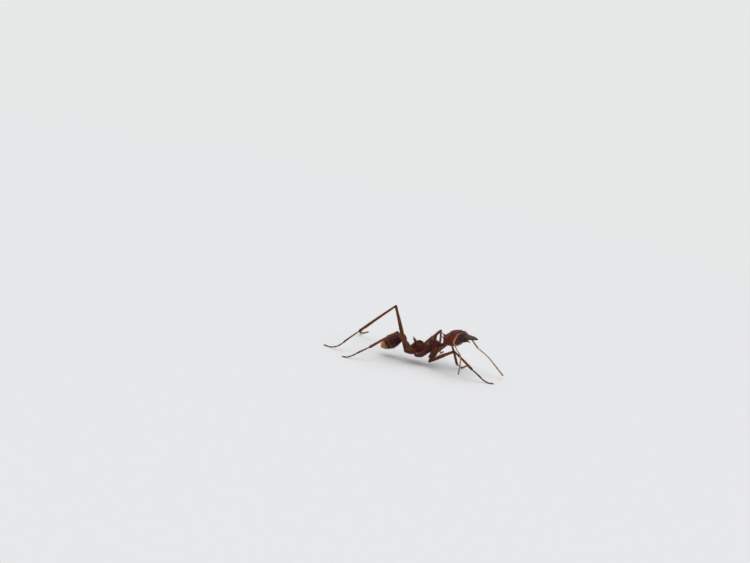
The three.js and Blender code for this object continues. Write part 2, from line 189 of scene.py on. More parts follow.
VIEW_WIDTH = 71.25
VIEW_ELEVATION = 10
VIEW_ROLL = 13
VIEW_OFFSET = (-3.8, 7.6)  # middle of the view from the point under the thorax, right and up
LENS = 85
SENSOR = 36
SUBJECT_HEIGHT = 0.145  # of the point under the thorax that VIEW_OFFSET starts from


def new_object(name, data):
    made = bpy.data.objects.new(name, data)
    bpy.context.scene.collection.objects.link(made)
    return made


def make_camera():
    """A wide, slightly raised view of the right side, rolled as the ground slopes."""
    tilt, roll = radians(VIEW_ELEVATION), radians(VIEW_ROLL)
    forward = Vector((0, cos(tilt), -sin(tilt)))
    level_right, level_up = Vector((1, 0, 0)), Vector((0, sin(tilt), cos(tilt)))
    right = cos(roll) * level_right + sin(roll) * level_up
    up = cos(roll) * level_up - sin(roll) * level_right
    subject = Vector(ORIGIN) + Vector((0, 0, SUBJECT_HEIGHT))
    middle = subject + VIEW_OFFSET[0] * right + VIEW_OFFSET[1] * up
    data = bpy.data.cameras.new("camera")
    data.lens = LENS
    data.sensor_width = SENSOR
    data.clip_start = 0.001
    data.clip_end = 10
    camera = new_object("camera", data)
    placed = Matrix((right, up, -forward)).transposed().to_4x4()
    placed.translation = (middle - forward * VIEW_WIDTH * LENS / SENSOR) * MM
    camera.matrix_world = placed
    bpy.context.scene.camera = camera


make_camera()

# ------------------------------------------------------------------ shape helpers


def through(rows, x, column=1):
    """A smooth value at x through rows that start with their position and rise along it."""
    rows = np.asarray(rows, float)
    place, value = rows[:, 0], rows[:, column]
    at = np.clip(x, place[0], place[-1])
    i = np.clip(np.searchsorted(place, at, side="right") - 1, 0, len(rows) - 2)
    numbers = np.arange(len(rows))
    before = np.maximum(numbers - 1, 0)
    after = np.minimum(numbers + 1, len(rows) - 1)
    slope = (value[after] - value[before]) / (place[after] - place[before])
    span = place[i + 1] - place[i]
    u = (at - place[i]) / span
    ease = u * u * (3 - 2 * u)
    start = u * (1 - u) ** 2 * span * slope[i]
    end = u * u * (u - 1) * span * slope[i + 1]
    return value[i] * (1 - ease) + value[i + 1] * ease + start + end


def places(rows, x):
    """The three values at each x through rows of a position and three values."""
    return np.stack([through(rows, x, column) for column in (1, 2, 3)], -1)


def smoothstep(low, high, x):
    t = np.clip((x - low) / (high - low), 0, 1)
    return t * t * (3 - 2 * t)


def bump_at(x, middle, width):
    return np.exp(-(((x - middle) / width) ** 2))


def groove(distance, width, depth):
    """How far a skin sinks in at a distance from the middle of a groove."""
    return -depth * bump_at(distance, 0, width)


def fuller(v, power):
    """Values from -1 to 1, pushed out towards their ends by a power under 1."""
    return np.sign(v) * np.abs(v) ** power


def unit(v):
    v = np.asarray(v, float)
    return v / np.maximum(np.linalg.norm(v, axis=-1, keepdims=True), 1e-12)


def curve(points, count):
    """Evenly spaced points on a smooth path through a few."""
    points = np.asarray(points, float)
    steps = np.linalg.norm(np.diff(points, axis=0), axis=1)
    rows = np.column_stack((np.concatenate(([0], np.cumsum(steps))), points))
    return places(rows, np.linspace(0, rows[-1, 0], count))


def circle(around):
    """The angles of that many points round a ring."""
    return np.arange(around) * tau / around


def mirrored(points, side):
    """Points of the left side where side is 1, or their mirror images on the right."""
    return np.array(points) * (1, side, 1)


class Shell:
    """Closed surfaces in the ant's frame, with values at every point for their shading and coat.

    tone darkens the colour and pale turns it to soft membrane, and on the feelers partly to a painted
    sheen. run is the way the bristles lie.
    place is where the point is on the unwrapped skin: along it, then cosine and sine around it.
    """

    def __init__(self, points, faces):
        self.points = np.asarray(points, float)
        self.faces = faces
        count = len(self.points)
        self.tone, self.pale = np.zeros(count), np.zeros(count)
        self.run = np.tile((-1.0, 0.0, 0.0), (count, 1))
        self.place = np.tile((0.0, 1.0, 0.0), (count, 1))

    def triangles(self):
        return np.array([(f[0], f[k], f[k + 1]) for f in self.faces for k in range(1, len(f) - 1)])

    def normals(self):
        tri = self.triangles()
        a, b, c = (self.points[tri[:, k]] for k in range(3))
        flat = np.cross(b - a, c - a)
        total = np.zeros_like(self.points)
        for k in range(3):
            for axis in range(3):
                total[:, axis] += np.bincount(tri[:, k], flat[:, axis], len(total))
        return unit(total)

    def swollen(self, amount):
        """The same shell with each point moved out along its normal."""
        self.points = self.points + self.normals() * amount[:, None]
        return self


def joined(shells):
    """Several shells as one."""
    faces, start = [], 0
    for shell in shells:
        faces += [tuple(start + n for n in face) for face in shell.faces]
        start += len(shell.points)
    whole = Shell(np.concatenate([s.points for s in shells]), faces)
    for value in ("tone", "pale", "run", "place"):
        setattr(whole, value, np.concatenate([getattr(s, value) for s in shells]))
    return whole


def lofted(rings, first_pole, last_pole):
    """A closed skin over rings of equal count, from one pole to the other."""
    count, around = rings.shape[:2]
    points = np.concatenate(([first_pole], rings.reshape(-1, 3), [last_pole]))
    ring, k = (v.ravel() for v in np.mgrid[0 : count - 1, 0:around])
    here, beside = 1 + ring * around + k, 1 + ring * around + (k + 1) % around
    faces = list(map(tuple, np.stack((here, beside, beside + around, here + around), -1).tolist()))
    last = 1 + (count - 1) * around
    for n in range(around):
        m = (n + 1) % around
        faces.append((0, 1 + m, 1 + n))
        faces.append((last + around, last + n, last + m))
    return points, faces


def per_point(values, around):
    """The value of each ring at every point of a lofted skin, its poles included."""
    return np.concatenate((values[:1], np.repeat(values, around, axis=0), values[-1:]))


def set_places(shell, shares, around):
    """Unwraps a lofted skin, from the share of its length at each of its rings."""
    turn = np.tile(circle(around), len(shares))
    shell.place[:, 0] = per_point(shares, around)
    shell.place[1:-1, 1] = np.cos(turn)
    shell.place[1:-1, 2] = np.sin(turn)


JOINT_SHADE = 0.16  # how far the dark of a joint reaches along a limb


def tube(path, radii, around, flatness=1.0, span=(0, 1), joint_tone=0.0):
    """A round limb along a path, with its radius at every point and rounded ends.

    flatness is the height of its section over its width. joint_tone darkens both its ends. span is
    where it starts and ends along the unwrapped skin.
    """
    path = np.asarray(path, float)
    radii = np.broadcast_to(np.asarray(radii, float), len(path))
    tangents = unit(np.gradient(path, axis=0))
    caps = np.radians((72, 50, 25))
    first, last = path[0], path[-1]
    centres = np.concatenate((
        [first - tangents[0] * radii[0] * sin(a) for a in caps],
        path,
        [last + tangents[-1] * radii[-1] * sin(a) for a in caps[::-1]],
    ))
    sizes = np.concatenate((radii[0] * np.cos(caps), radii, radii[-1] * np.cos(caps[::-1])))
    along = np.concatenate((tangents[[0, 0, 0]], tangents, tangents[[-1, -1, -1]]))
    turn = circle(around)
    across = np.cross(Z_AXIS, along[0])
    across = unit(across if np.linalg.norm(across) > 1e-3 else Y_AXIS)
    rings = []
    for centre, size, forward in zip(centres, sizes, along):
        across = unit(across - forward * (across @ forward))
        up = np.cross(forward, across)
        section = np.outer(np.cos(turn), across) + flatness * np.outer(np.sin(turn), up)
        rings.append(centre + size * section)
    first_pole, last_pole = first - tangents[0] * radii[0], last + tangents[-1] * radii[-1]
    share = np.clip((np.arange(len(centres)) - 3) / (len(path) - 1), 0, 1)
    length = np.linalg.norm(np.diff(path, axis=0), axis=1).sum()
    near_end = per_point(np.minimum(share, 1 - share) * length, around)
    shell = Shell(*lofted(np.array(rings), first_pole, last_pole))
    shell.tone = joint_tone * np.exp(-near_end / JOINT_SHADE)
    shell.run = per_point(along, around)
    set_places(shell, span[0] + (span[1] - span[0]) * share, around)
    return shell


def profile(rows, count):
    """Radii for a tube of that many points, through [share of its length, radius] rows."""
    return through(rows, np.linspace(0, 1, count))


def tapered(points, radii, rows=28, around=12, **finish):
    """A tube of so many rows on a smooth path through a few points, with its radii as in profile."""
    return tube(curve(points, rows), profile(radii, rows), around, **finish)


def blob(middle, half, fineness=4, turn=0, pitch=0, roll=0):
    """A rounded lump with its half sizes, yawed by turn, then rolled and pitched about its middle."""
    bm = bmesh.new()
    bmesh.ops.create_icosphere(bm, subdivisions=fineness, radius=1)
    ball = np.array([v.co for v in bm.verts])
    faces = [tuple(v.index for v in f.verts) for f in bm.faces]
    bm.free()
    lump = pitched(rolled(yawed(ball * half, turn), roll), pitch)
    return Shell(lump + middle, faces)


HORN_PROFILE = [(0, 1.3), (0.12, 1.02), (0.25, 0.8), (0.6, 0.48), (0.9, 0.2), (1, 0.07)]
HORN_ROWS = 40
HORN_ROOT_ROWS = 14


def horn(root, tip, radius, sag=0.0):
    """A pointed spine that flares into the skin at its root: the whole of it and its root alone."""
    middle = (root + tip) / 2 + np.array((sag, 0, 0))
    path = curve((root, middle, tip), HORN_ROWS)
    sizes = radius * profile(HORN_PROFILE, HORN_ROWS)
    return tube(path, sizes, 20), tube(path[:HORN_ROOT_ROWS], sizes[:HORN_ROOT_ROWS] * 1.04, 20)


def horns(rows, side):
    return [horn(mirrored(root, side), mirrored(tip, side), *size) for root, tip, *size in rows]


def fused(shells, voxel, rounds):
    """One closed skin over overlapping shells, built from small voxels and then smoothed."""
    whole = joined(shells)
    mesh = bpy.data.meshes.new("fusing")
    mesh.from_pydata(whole.points.tolist(), [], whole.faces)
    thing = new_object("fusing", mesh)
    remesh = thing.modifiers.new("voxels", "REMESH")
    remesh.mode = "VOXEL"
    remesh.voxel_size = voxel
    smooth = thing.modifiers.new("smooth", "SMOOTH")
    smooth.iterations = rounds
    made = bpy.data.meshes.new_from_object(thing.evaluated_get(bpy.context.evaluated_depsgraph_get()))
    points = np.zeros(len(made.vertices) * 3)
    made.vertices.foreach_get("co", points)
    shell = Shell(points.reshape(-1, 3), [tuple(p.vertices) for p in made.polygons])
    bpy.data.objects.remove(thing)
    bpy.data.meshes.remove(mesh)
    bpy.data.meshes.remove(made)
    return shell


def fused_with(spines, shells, voxel, rounds):
    """A fused skin that the roots of its spines flare into, with the whole spines on it.

    Its tone is 1 on the spines and 0 elsewhere until it is set.
    """
    wholes, roots = [whole for whole, _ in spines], [root for _, root in spines]
    skin = fused(shells + roots, voxel, rounds)
    for whole in wholes:
        whole.tone[:] = 1
    return joined([skin] + wholes)


def make_mesh(name, shell):
    mesh = bpy.data.meshes.new(name)
    mesh.from_pydata(((shell.points + ORIGIN) * MM).tolist(), [], shell.faces)
    mesh.polygons.foreach_set("use_smooth", np.ones(len(mesh.polygons), bool))
    for value in ("tone", "pale"):
        mesh.attributes.new(value, "FLOAT", "POINT").data.foreach_set("value", getattr(shell, value))
    mesh.update()
    return mesh


def add_piece(name, shell, material, slot, *nodes):
    """A finished piece of the ant that rides on its body and stands for the named solids."""
    mesh = make_mesh(name, shell)
    mesh.materials.append(material)
    piece = new_object(name, mesh)
    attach(piece, "root")
    if nodes:
        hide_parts(*nodes)
    return piece


# ------------------------------------------------------------------ shader groups


COLOUR, NUMBER = "NodeSocketColor", "NodeSocketFloat"
WHITE = (1, 1, 1, 1)


def new_group(name, inputs, outputs):
    """A shader node group with its sockets: the first value of each input, the kind of each output."""
    group = bpy.data.node_groups.new(name, "ShaderNodeTree")
    for label, value in inputs.items():
        kind = COLOUR if isinstance(value, tuple) else NUMBER
        group.interface.new_socket(label, in_out="INPUT", socket_type=kind).default_value = value
    for label, kind in outputs.items():
        group.interface.new_socket(label, in_out="OUTPUT", socket_type=kind)
    return group, group.nodes.new("NodeGroupInput").outputs, group.nodes.new("NodeGroupOutput").inputs


def node(tree, kind, inputs=(), **settings):
    """A node with its settings; inputs pairs a socket's name or number with a value or a link."""
    made = tree.nodes.new(kind)
    for setting, value in settings.items():
        setattr(made, setting, value)
    for socket, value in dict(inputs).items():
        if isinstance(value, bpy.types.NodeSocket):
            tree.links.new(value, made.inputs[socket])
        else:
            made.inputs[socket].default_value = value
    return made


def millimetres(tree):
    """The skin's own position, counted in millimetres."""
    place = node(tree, "ShaderNodeTexCoord").outputs["Object"]
    return node(tree, "ShaderNodeVectorMath", {0: place, "Scale": 1 / MM}, operation="SCALE").outputs[0]


def maths(tree, operation, *values):
    return node(tree, "ShaderNodeMath", dict(enumerate(values)), operation=operation).outputs[0]


def mixed(tree, factor, a, b):
    return node(tree, "ShaderNodeMix", {0: factor, 6: a, 7: b}, data_type="RGBA").outputs[2]


def clamped(tree, value):
    return node(tree, "ShaderNodeClamp", {0: value}).outputs[0]


def noise(tree, place, scale, detail=2.0):
    return node(tree, "ShaderNodeTexNoise", {"Vector": place, "Scale": scale, "Detail": detail}).outputs[0]


def ranged(tree, value, low, high, start=0.0, end=1.0, easing="SMOOTHSTEP"):
    """A value moved from one range to another, and held inside it."""
    inputs = dict(enumerate((value, low, high, start, end)))
    return node(tree, "ShaderNodeMapRange", inputs, interpolation_type=easing).outputs[0]


def stored(tree, name):
    """A value that the mesh holds at every point."""
    return node(tree, "ShaderNodeAttribute", attribute_name=name).outputs["Fac"]


def make_markings():
    """Colour of hard skin: drifting in patches, deep where tone says, and soft where pale says (on the
    feelers partly a painted sheen).
    """
    inputs = {"Colour": WHITE, "Deep Colour": WHITE, "Pale Colour": WHITE}
    inputs |= {"Patches": 2.0, "Patch Depth": 0.5}
    tree, given, out = new_group("markings", inputs, {"Colour": COLOUR})
    place = millimetres(tree)
    speckle = maths(tree, "MULTIPLY_ADD", noise(tree, place, 38.0), 0.5, -0.25)
    drift = maths(tree, "SUBTRACT", noise(tree, place, given["Patches"], 4.0), 0.42)
    drift = maths(tree, "MULTIPLY_ADD", drift, 2.4, speckle)
    depth = clamped(tree, maths(tree, "MULTIPLY_ADD", drift, given["Patch Depth"], stored(tree, "tone")))
    deepened = mixed(tree, depth, given["Colour"], given["Deep Colour"])
    tree.links.new(mixed(tree, stored(tree, "pale"), deepened, given["Pale Colour"]), out["Colour"])
    return tree


def make_netting():
    """Relief of the skin: a fine mesh of raised lines, shallow pits and a soft unevenness."""
    inputs = {"Cells": 30.0, "Line Height": 0.5, "Pit Spacing": 6.0, "Pit Depth": 0.5, "Unevenness": 0.3}
    tree, given, out = new_group("netting", inputs, {"Height": NUMBER, "Dull": NUMBER})
    place = millimetres(tree)
    at_cells = {"Vector": place, "Scale": given["Cells"]}
    cells = node(tree, "ShaderNodeTexVoronoi", at_cells, feature="DISTANCE_TO_EDGE")
    line = ranged(tree, cells.outputs["Distance"], 0.0, 0.16, 1.0, 0.0)
    pits = node(tree, "ShaderNodeTexVoronoi", {"Vector": place, "Scale": given["Pit Spacing"]})
    pit = ranged(tree, pits.outputs["Distance"], 0.1, 0.24, -1.0, 0.0)
    swell = noise(tree, place, 7.0, 3.0)
    height = maths(tree, "MULTIPLY", line, given["Line Height"])
    height = maths(tree, "MULTIPLY_ADD", pit, given["Pit Depth"], height)
    height = maths(tree, "MULTIPLY_ADD", swell, given["Unevenness"], height)
    tree.links.new(height, out["Height"])
    dull = maths(tree, "MULTIPLY_ADD", line, 0.25, maths(tree, "MULTIPLY", swell, 0.6))
    tree.links.new(dull, out["Dull"])
    return tree


def make_gloss():
    """Roughness between polished and dull, where dull says."""
    inputs = {"Dull": 0.5, "Polished": 0.25, "Matt": 0.5}
    tree, given, out = new_group("gloss", inputs, {"Roughness": NUMBER})
    dull = maths(tree, "MULTIPLY_ADD", stored(tree, "pale"), 0.5, given["Dull"])
    rough = ranged(tree, dull, 0.0, 1.0, given["Polished"], given["Matt"], easing="LINEAR")
    tree.links.new(rough, out["Roughness"])
    return tree


MARKINGS = make_markings()
NETTING = make_netting()
GLOSS = make_gloss()


def new_material(name):
    material = bpy.data.materials.new(name)
    material.use_nodes = True
    tree = material.node_tree
    tree.nodes.clear()
    shader = tree.nodes.new("ShaderNodeBsdfPrincipled")
    output = tree.nodes.new("ShaderNodeOutputMaterial")
    tree.links.new(shader.outputs[0], output.inputs["Surface"])
    return material, tree, shader


def placed(tree, group, values):
    """The outputs of a shader group that a material uses with its own values."""
    return node(tree, "ShaderNodeGroup", values, node_tree=group).outputs


def hard_skin(name, colour, deep, pale, patches, netting, gloss, pits=(6, 0.5), unevenness=0.3,
              relief=0.006, sheen=0.15):
    """Finish of hard skin, from its main colour, that of its darkest parts and that of its membranes (on
    the feelers also a painted sheen).

    patches, netting and pits each hold how many there are in a millimetre and how strong they are.
    gloss is the roughness where polished and where dull, and relief the depth of it all.
    """
    material, tree, shader = new_material(name)
    colours = placed(tree, MARKINGS, {
        "Colour": (*colour, 1),
        "Deep Colour": (*deep, 1),
        "Pale Colour": (*pale, 1),
        "Patches": patches[0],
        "Patch Depth": patches[1],
    })
    net = placed(tree, NETTING, {
        "Cells": netting[0],
        "Line Height": netting[1],
        "Pit Spacing": pits[0],
        "Pit Depth": pits[1],
        "Unevenness": unevenness,
    })
    shine = placed(tree, GLOSS, {"Dull": net["Dull"], "Polished": gloss[0], "Matt": gloss[1]})
    bump = node(tree, "ShaderNodeBump", {"Distance": relief * MM, "Height": net["Height"]})
    tree.links.new(colours["Colour"], shader.inputs["Base Color"])
    tree.links.new(shine["Roughness"], shader.inputs["Roughness"])
    tree.links.new(bump.outputs[0], shader.inputs["Normal"])
    shader.inputs["IOR"].default_value = 1.5
    shader.inputs["Specular IOR Level"].default_value = sheen
    return material


HEAD_SKIN = hard_skin(
    "head skin", (0.1, 0.0095, 0.0055), (0.011, 0.0045, 0.006), (0.2, 0.05, 0.014),
    patches=(1.3, 0.45), netting=(52, 0.4), pits=(5.5, 0.8), gloss=(0.2, 0.42),
)
THORAX_SKIN = hard_skin(
    "thorax skin", (0.076, 0.0102, 0.007), (0.016, 0.005, 0.0065), (0.2, 0.06, 0.02),
    patches=(1.6, 0.5), netting=(44, 0.5), pits=(5, 0.7), unevenness=0.8, gloss=(0.24, 0.48), relief=0.007,
)
WAIST_SKIN = hard_skin(
    "waist skin", (0.1, 0.0145, 0.0085), (0.02, 0.006, 0.007), (0.25, 0.08, 0.03),
    patches=(2.2, 0.5), netting=(48, 0.5), gloss=(0.25, 0.46),
)
GASTER_SKIN = hard_skin(
    "gaster skin", (0.05, 0.0055, 0.0052), (0.012, 0.0035, 0.005), (0.5, 0.215, 0.06),
    patches=(1.1, 0.55), netting=(58, 0.35), pits=(5, 0.6), gloss=(0.22, 0.44), relief=0.005,
)
LEG_SKIN = hard_skin(
    "leg skin", (0.15, 0.036, 0.0075), (0.034, 0.009, 0.005), (0.48, 0.22, 0.07),
    patches=(1.2, 0.7), netting=(66, 0.25), pits=(9, 0.6), unevenness=0.5, gloss=(0.26, 0.46), relief=0.005,
)
COXA_SKIN = hard_skin(
    "coxa skin", (0.092, 0.016, 0.0075), (0.025, 0.007, 0.006), (0.3, 0.11, 0.04),
    patches=(1.8, 0.5), netting=(50, 0.45), gloss=(0.24, 0.46),
)
# Its pale colour is laid over the whole lash. That paleness is partly the feeler's pale down and partly a
# painted sky sheen.
FEELER_SKIN_AND_PAINTED_SHEEN = hard_skin(
    "feeler skin and painted sheen", (0.25, 0.095, 0.033), (0.07, 0.02, 0.01), (0.5, 0.28, 0.12),
    patches=(1.5, 0.6), netting=(88, 0.3), pits=(14, 0.6), gloss=(0.34, 0.58), relief=0.004,
)
JAW_SKIN = hard_skin(
    "jaw skin", (0.075, 0.012, 0.007), (0.008, 0.004, 0.005), (0.2, 0.06, 0.02),
    patches=(2.0, 0.4), netting=(64, 0.2), pits=(7, 0.7), gloss=(0.2, 0.4), relief=0.004, sheen=0.26,
)
CLAW_SKIN = hard_skin(
    "claw skin", (0.09, 0.022, 0.009), (0.015, 0.006, 0.005), (0.4, 0.22, 0.09),
    patches=(3.0, 0.4), netting=(60, 0.2), gloss=(0.18, 0.36), relief=0.002,
)
EYE_LENSES = hard_skin(
    "eye lenses", (0.008, 0.006, 0.007), (0.003, 0.003, 0.004), (0.03, 0.012, 0.008),
    patches=(9.0, 0.6), netting=(8, 0.0), pits=(6, 0.0), unevenness=0.1, gloss=(0.1, 0.2),
    relief=0.001, sheen=0.32,
)


def bristle_material(name, root, tip):
    """Stiff hair, dark at its root and pale at its tip."""
    material, tree, shader = new_material(name)
    drift = maths(tree, "MULTIPLY_ADD", noise(tree, millimetres(tree), 6.0), 0.5, -0.25)
    share = clamped(tree, maths(tree, "ADD", stored(tree, "tone"), drift))
    tree.links.new(mixed(tree, share, (*root, 1), (*tip, 1)), shader.inputs["Base Color"])
    shader.inputs["Roughness"].default_value = 0.42
    shader.inputs["IOR"].default_value = 1.55
    return material


BODY_BRISTLE = bristle_material("body bristle", (0.1, 0.03, 0.011), (0.42, 0.22, 0.08))
LEG_BRISTLE = bristle_material("leg bristle", (0.22, 0.08, 0.025), (0.5, 0.3, 0.13))
# The feeler down's pale tips are partly real pale hair and partly a painted sky sheen.
FEELER_DOWN_AND_PAINTED_SHEEN = bristle_material("feeler down and painted sheen", (0.42, 0.26, 0.11), (0.76, 0.64, 0.42))

# ------------------------------------------------------------------ bristles


def scatter(shell, count, rng, keep):
    """Roots spread by area over a shell, kept by chance where keep allows.

    Gives their points, the way out of the skin, its run and their places on the unwrapped skin.
    """
    tri = shell.triangles()
    a, b, c = (shell.points[tri[:, k]] for k in range(3))
    area = np.linalg.norm(np.cross(b - a, c - a), axis=1)
    tries = 6 * count
    chosen = rng.choice(len(tri), tries, p=area / area.sum())
    weight = rng.random((tries, 2))
    weight = np.where(weight.sum(axis=1, keepdims=True) > 1, 1 - weight, weight)
    weights = np.column_stack((1 - weight.sum(axis=1), weight))
    at = lambda values: (values[tri[chosen]] * weights[..., None]).sum(axis=1)
    roots, out = at(shell.points), unit(at(shell.normals()))
    picked = np.flatnonzero(rng.random(tries) < keep(roots, out))[:count]
    return [values[picked] for values in (roots, out, at(shell.run), at(shell.place))]


COATS = {  # how many hairs, the shortest and the longest, thickness, lean, rows in each hair
    "head": (1500, (0.07, 0.2), 0.005, 0.55, 5),
    "jaw": (60, (0.09, 0.18), 0.0045, 0.75, 5),
    "feeler": (1700, (0.03, 0.065), 0.0034, 0.62, 3),
    "thorax": (1100, (0.09, 0.24), 0.0053, 0.45, 5),
    "waist": (320, (0.08, 0.2), 0.0052, 0.45, 5),
    "gaster": (1500, (0.08, 0.22), 0.0053, 0.62, 5),
    "leg": (1300, (0.05, 0.13), 0.0042, 0.66, 4),
    "foot": (560, (0.045, 0.1), 0.0037, 0.55, 4),
}
HAIR_SIDES = 3
ROOT_DEPTH = 0.006
TUFT_PATCH = 0.003  # size of each hair's patch on the map


def anywhere(roots, out):
    return np.ones(len(roots))


def hair_faces(hairs, steps):
    """Faces of that many tapered hairs, each of rings of points and one tip."""
    sides = HAIR_SIDES
    pattern = [tuple(range(sides))[::-1]]
    for step in range(steps - 1):
        for k in range(sides):
            n, m = step * sides + k, step * sides + (k + 1) % sides
            pattern.append((n, m, m + sides, n + sides))
    last, tip = (steps - 1) * sides, steps * sides
    pattern += [(last + k, last + (k + 1) % sides, tip) for k in range(sides)]
    return [tuple(n + hair * (tip + 1) for n in face) for hair in range(hairs) for face in pattern]


def add_bristles(name, shell, coat, material, seed, keep=anywhere):
    """Curved tapered hairs over a shell, in one mesh.

    lean is how far a hair lies down along the skin's run, 0 upright to 1 flat. On the map OFBake
    each hair is a small patch at its root's place.
    """
    count, (shortest, longest), thickness, lean, steps = COATS[coat]
    sides = HAIR_SIDES
    rng = np.random.default_rng(seed)
    roots, out, run, place = scatter(shell, count, rng, keep)
    total = len(roots)
    along_skin = unit(run - out * (run * out).sum(axis=1, keepdims=True))
    beside = np.cross(out, along_skin)
    lay = np.clip(lean + rng.normal(0, 0.1, total), 0.05, 0.95)[:, None]
    sway = rng.normal(0, 0.22, total)[:, None]
    start = unit(out * (1.05 - lay) + along_skin * lay * 0.75 + beside * sway * 0.5)
    end = unit(along_skin * (0.35 + lay) + out * (0.75 - 0.72 * lay) + beside * sway)
    size = (shortest + (longest - shortest) * rng.random(total) ** 1.4)[:, None]
    thick = thickness * (0.75 + 0.5 * rng.random(total))[:, None]
    across = unit(np.cross(start, beside + 0.3 * out))
    rows = []
    for step in range(steps):
        s = step / steps
        centre = roots - out * ROOT_DEPTH + size * (start * (s - 0.5 * s * s) + end * 0.5 * s * s)
        forward = unit(start * (1 - s) + end * s)
        side = unit(across - forward * (across * forward).sum(axis=1, keepdims=True))
        up = np.cross(forward, side)
        radius = thick * (1 - s) ** 0.6
        for turn in circle(sides):
            rows.append(centre + radius * (side * cos(turn) + up * sin(turn)))
    rows.append(roots - out * ROOT_DEPTH + size * 0.5 * (start + end))
    points = np.stack(rows, axis=1)
    points[..., 2] = np.maximum(points[..., 2], FLOOR_GAP)
    share = np.append(np.repeat(np.arange(steps) / steps, sides), 1.0)
    hairs = Shell(points.reshape(-1, 3), hair_faces(total, steps))
    hairs.tone = np.tile(share, total)
    piece = add_piece(name, hairs, material, "setae")
    around = np.arctan2(place[:, 2], place[:, 1]) / tau + 0.5
    centre = np.stack((place[:, 0], around), -1) * (1 - TUFT_PATCH) + TUFT_PATCH / 2
    turn = np.append(np.tile(np.arange(sides) / (sides - 1), steps), 0.5) - 0.5
    offset = np.stack((turn, share - 0.5), -1) * TUFT_PATCH
    patch = (centre[:, None] + offset[None]).reshape(-1, 2)
    corner = np.zeros(len(piece.data.loops), np.int32)
    piece.data.loops.foreach_get("vertex_index", corner)
    layer = piece.data.uv_layers.new(name="OFBake")
    layer.data.foreach_set("uv", patch[corner].ravel())
    return piece


# ------------------------------------------------------------------ head


def head_dome():
    """The heart-shaped capsule: round lobes behind, a furrow between them, a blunt face."""
    ball = blob((0, 0, 0), (1, 1, 1), fineness=6)
    x, y, z = ball.points.T
    heading = np.degrees(np.arctan2(np.abs(y), x))
    latitude = np.arcsin(np.clip(z, -1, 1))
    reach = through(HEAD_OUTLINE, heading) * fuller(np.cos(latitude), 0.85)
    px, py = reach * np.cos(np.radians(heading)), reach * np.sin(np.radians(heading)) * np.sign(y)
    height = np.where(z > 0, through(HEAD_TOP, px), through(HEAD_UNDERSIDE, px))
    furrow = 1 - 0.3 * smoothstep(0, 0.8, -px) * bump_at(py, 0, 0.35)
    ball.points = np.stack((px, py, height * furrow * fuller(np.sin(latitude), 0.85)), -1)
    return ball


def eye_rim(side):
    """The raised edge that the eye sits in."""
    path = []
    for a in np.linspace(0, tau, 40):
        spot = (EYE_RIM[0] * cos(a), EYE_RIM[1] * side, EYE_RIM[2] * sin(a))
        path.append(eye_place(side) + yawed(spot, EYE_TURN * side))
    return tube(path, 0.026, 8)


def socket_rim(side):
    """The rim of the feeler's socket, open towards the front of the face."""
    x, y, z = SOCKET
    path = []
    for a in np.linspace(0.15 * tau, 0.85 * tau, 24):
        path.append((x + 0.115 * cos(a), (y + 0.105 * sin(a)) * side, z - 0.06 * cos(a) - 0.05 * sin(a)))
    return tube(path, 0.026, 8)


def head_side(side):
    """What stands out on one side of the head: frontal lobe, ridges, eye mound, cheek, jaw hinge."""
    ridge = lambda points, radii: tapered(mirrored(points, side), radii)
    mound = lambda middle, half, turn, **lean: blob(mirrored(middle, side), half, turn=turn * side, **lean)
    carina = [(0.78, 0.28, 0.52), (0.5, 0.42, 0.61), (0.15, 0.53, 0.655), (-0.3, 0.6, 0.625)]
    face_ridge = [(0.7, 0.2, 0.51), (0.88, 0.25, 0.4), (1.02, 0.36, 0.24)]
    brow = [(0.92, 0.6, 0.3), (0.7, 0.82, 0.33), (0.3, 0.96, 0.36), (-0.2, 1.0, 0.34)]
    cheek_ridge = [(0.6, 0.95, -0.25), (0.85, 0.8, -0.36), (1.02, 0.55, -0.36)]
    return [
        mound((0.66, 0.31, 0.545), (0.25, 0.13, 0.075), turn=14, pitch=-15, roll=-14 * side),
        ridge(carina, [(0, 0.06), (0.3, 0.055), (1, 0.02)]),
        ridge(face_ridge, [(0, 0.05), (0.5, 0.04), (1, 0.03)]),
        socket_rim(side),
        ridge(brow, [(0, 0.03), (0.3, 0.04), (1, 0.015)]),
        mound((EYE_AT[0], 0.93, EYE_AT[2]), (0.29, 0.155, 0.235), turn=EYE_TURN),
        eye_rim(side),
        mound((0.86, 0.7, -0.08), (0.24, 0.26, 0.26), turn=-35),
        mound((1.02, 0.66, -0.12), (0.13, 0.16, 0.17), turn=-30),
        ridge(cheek_ridge, [(0, 0.02), (0.5, 0.035), (1, 0.03)]),
    ]


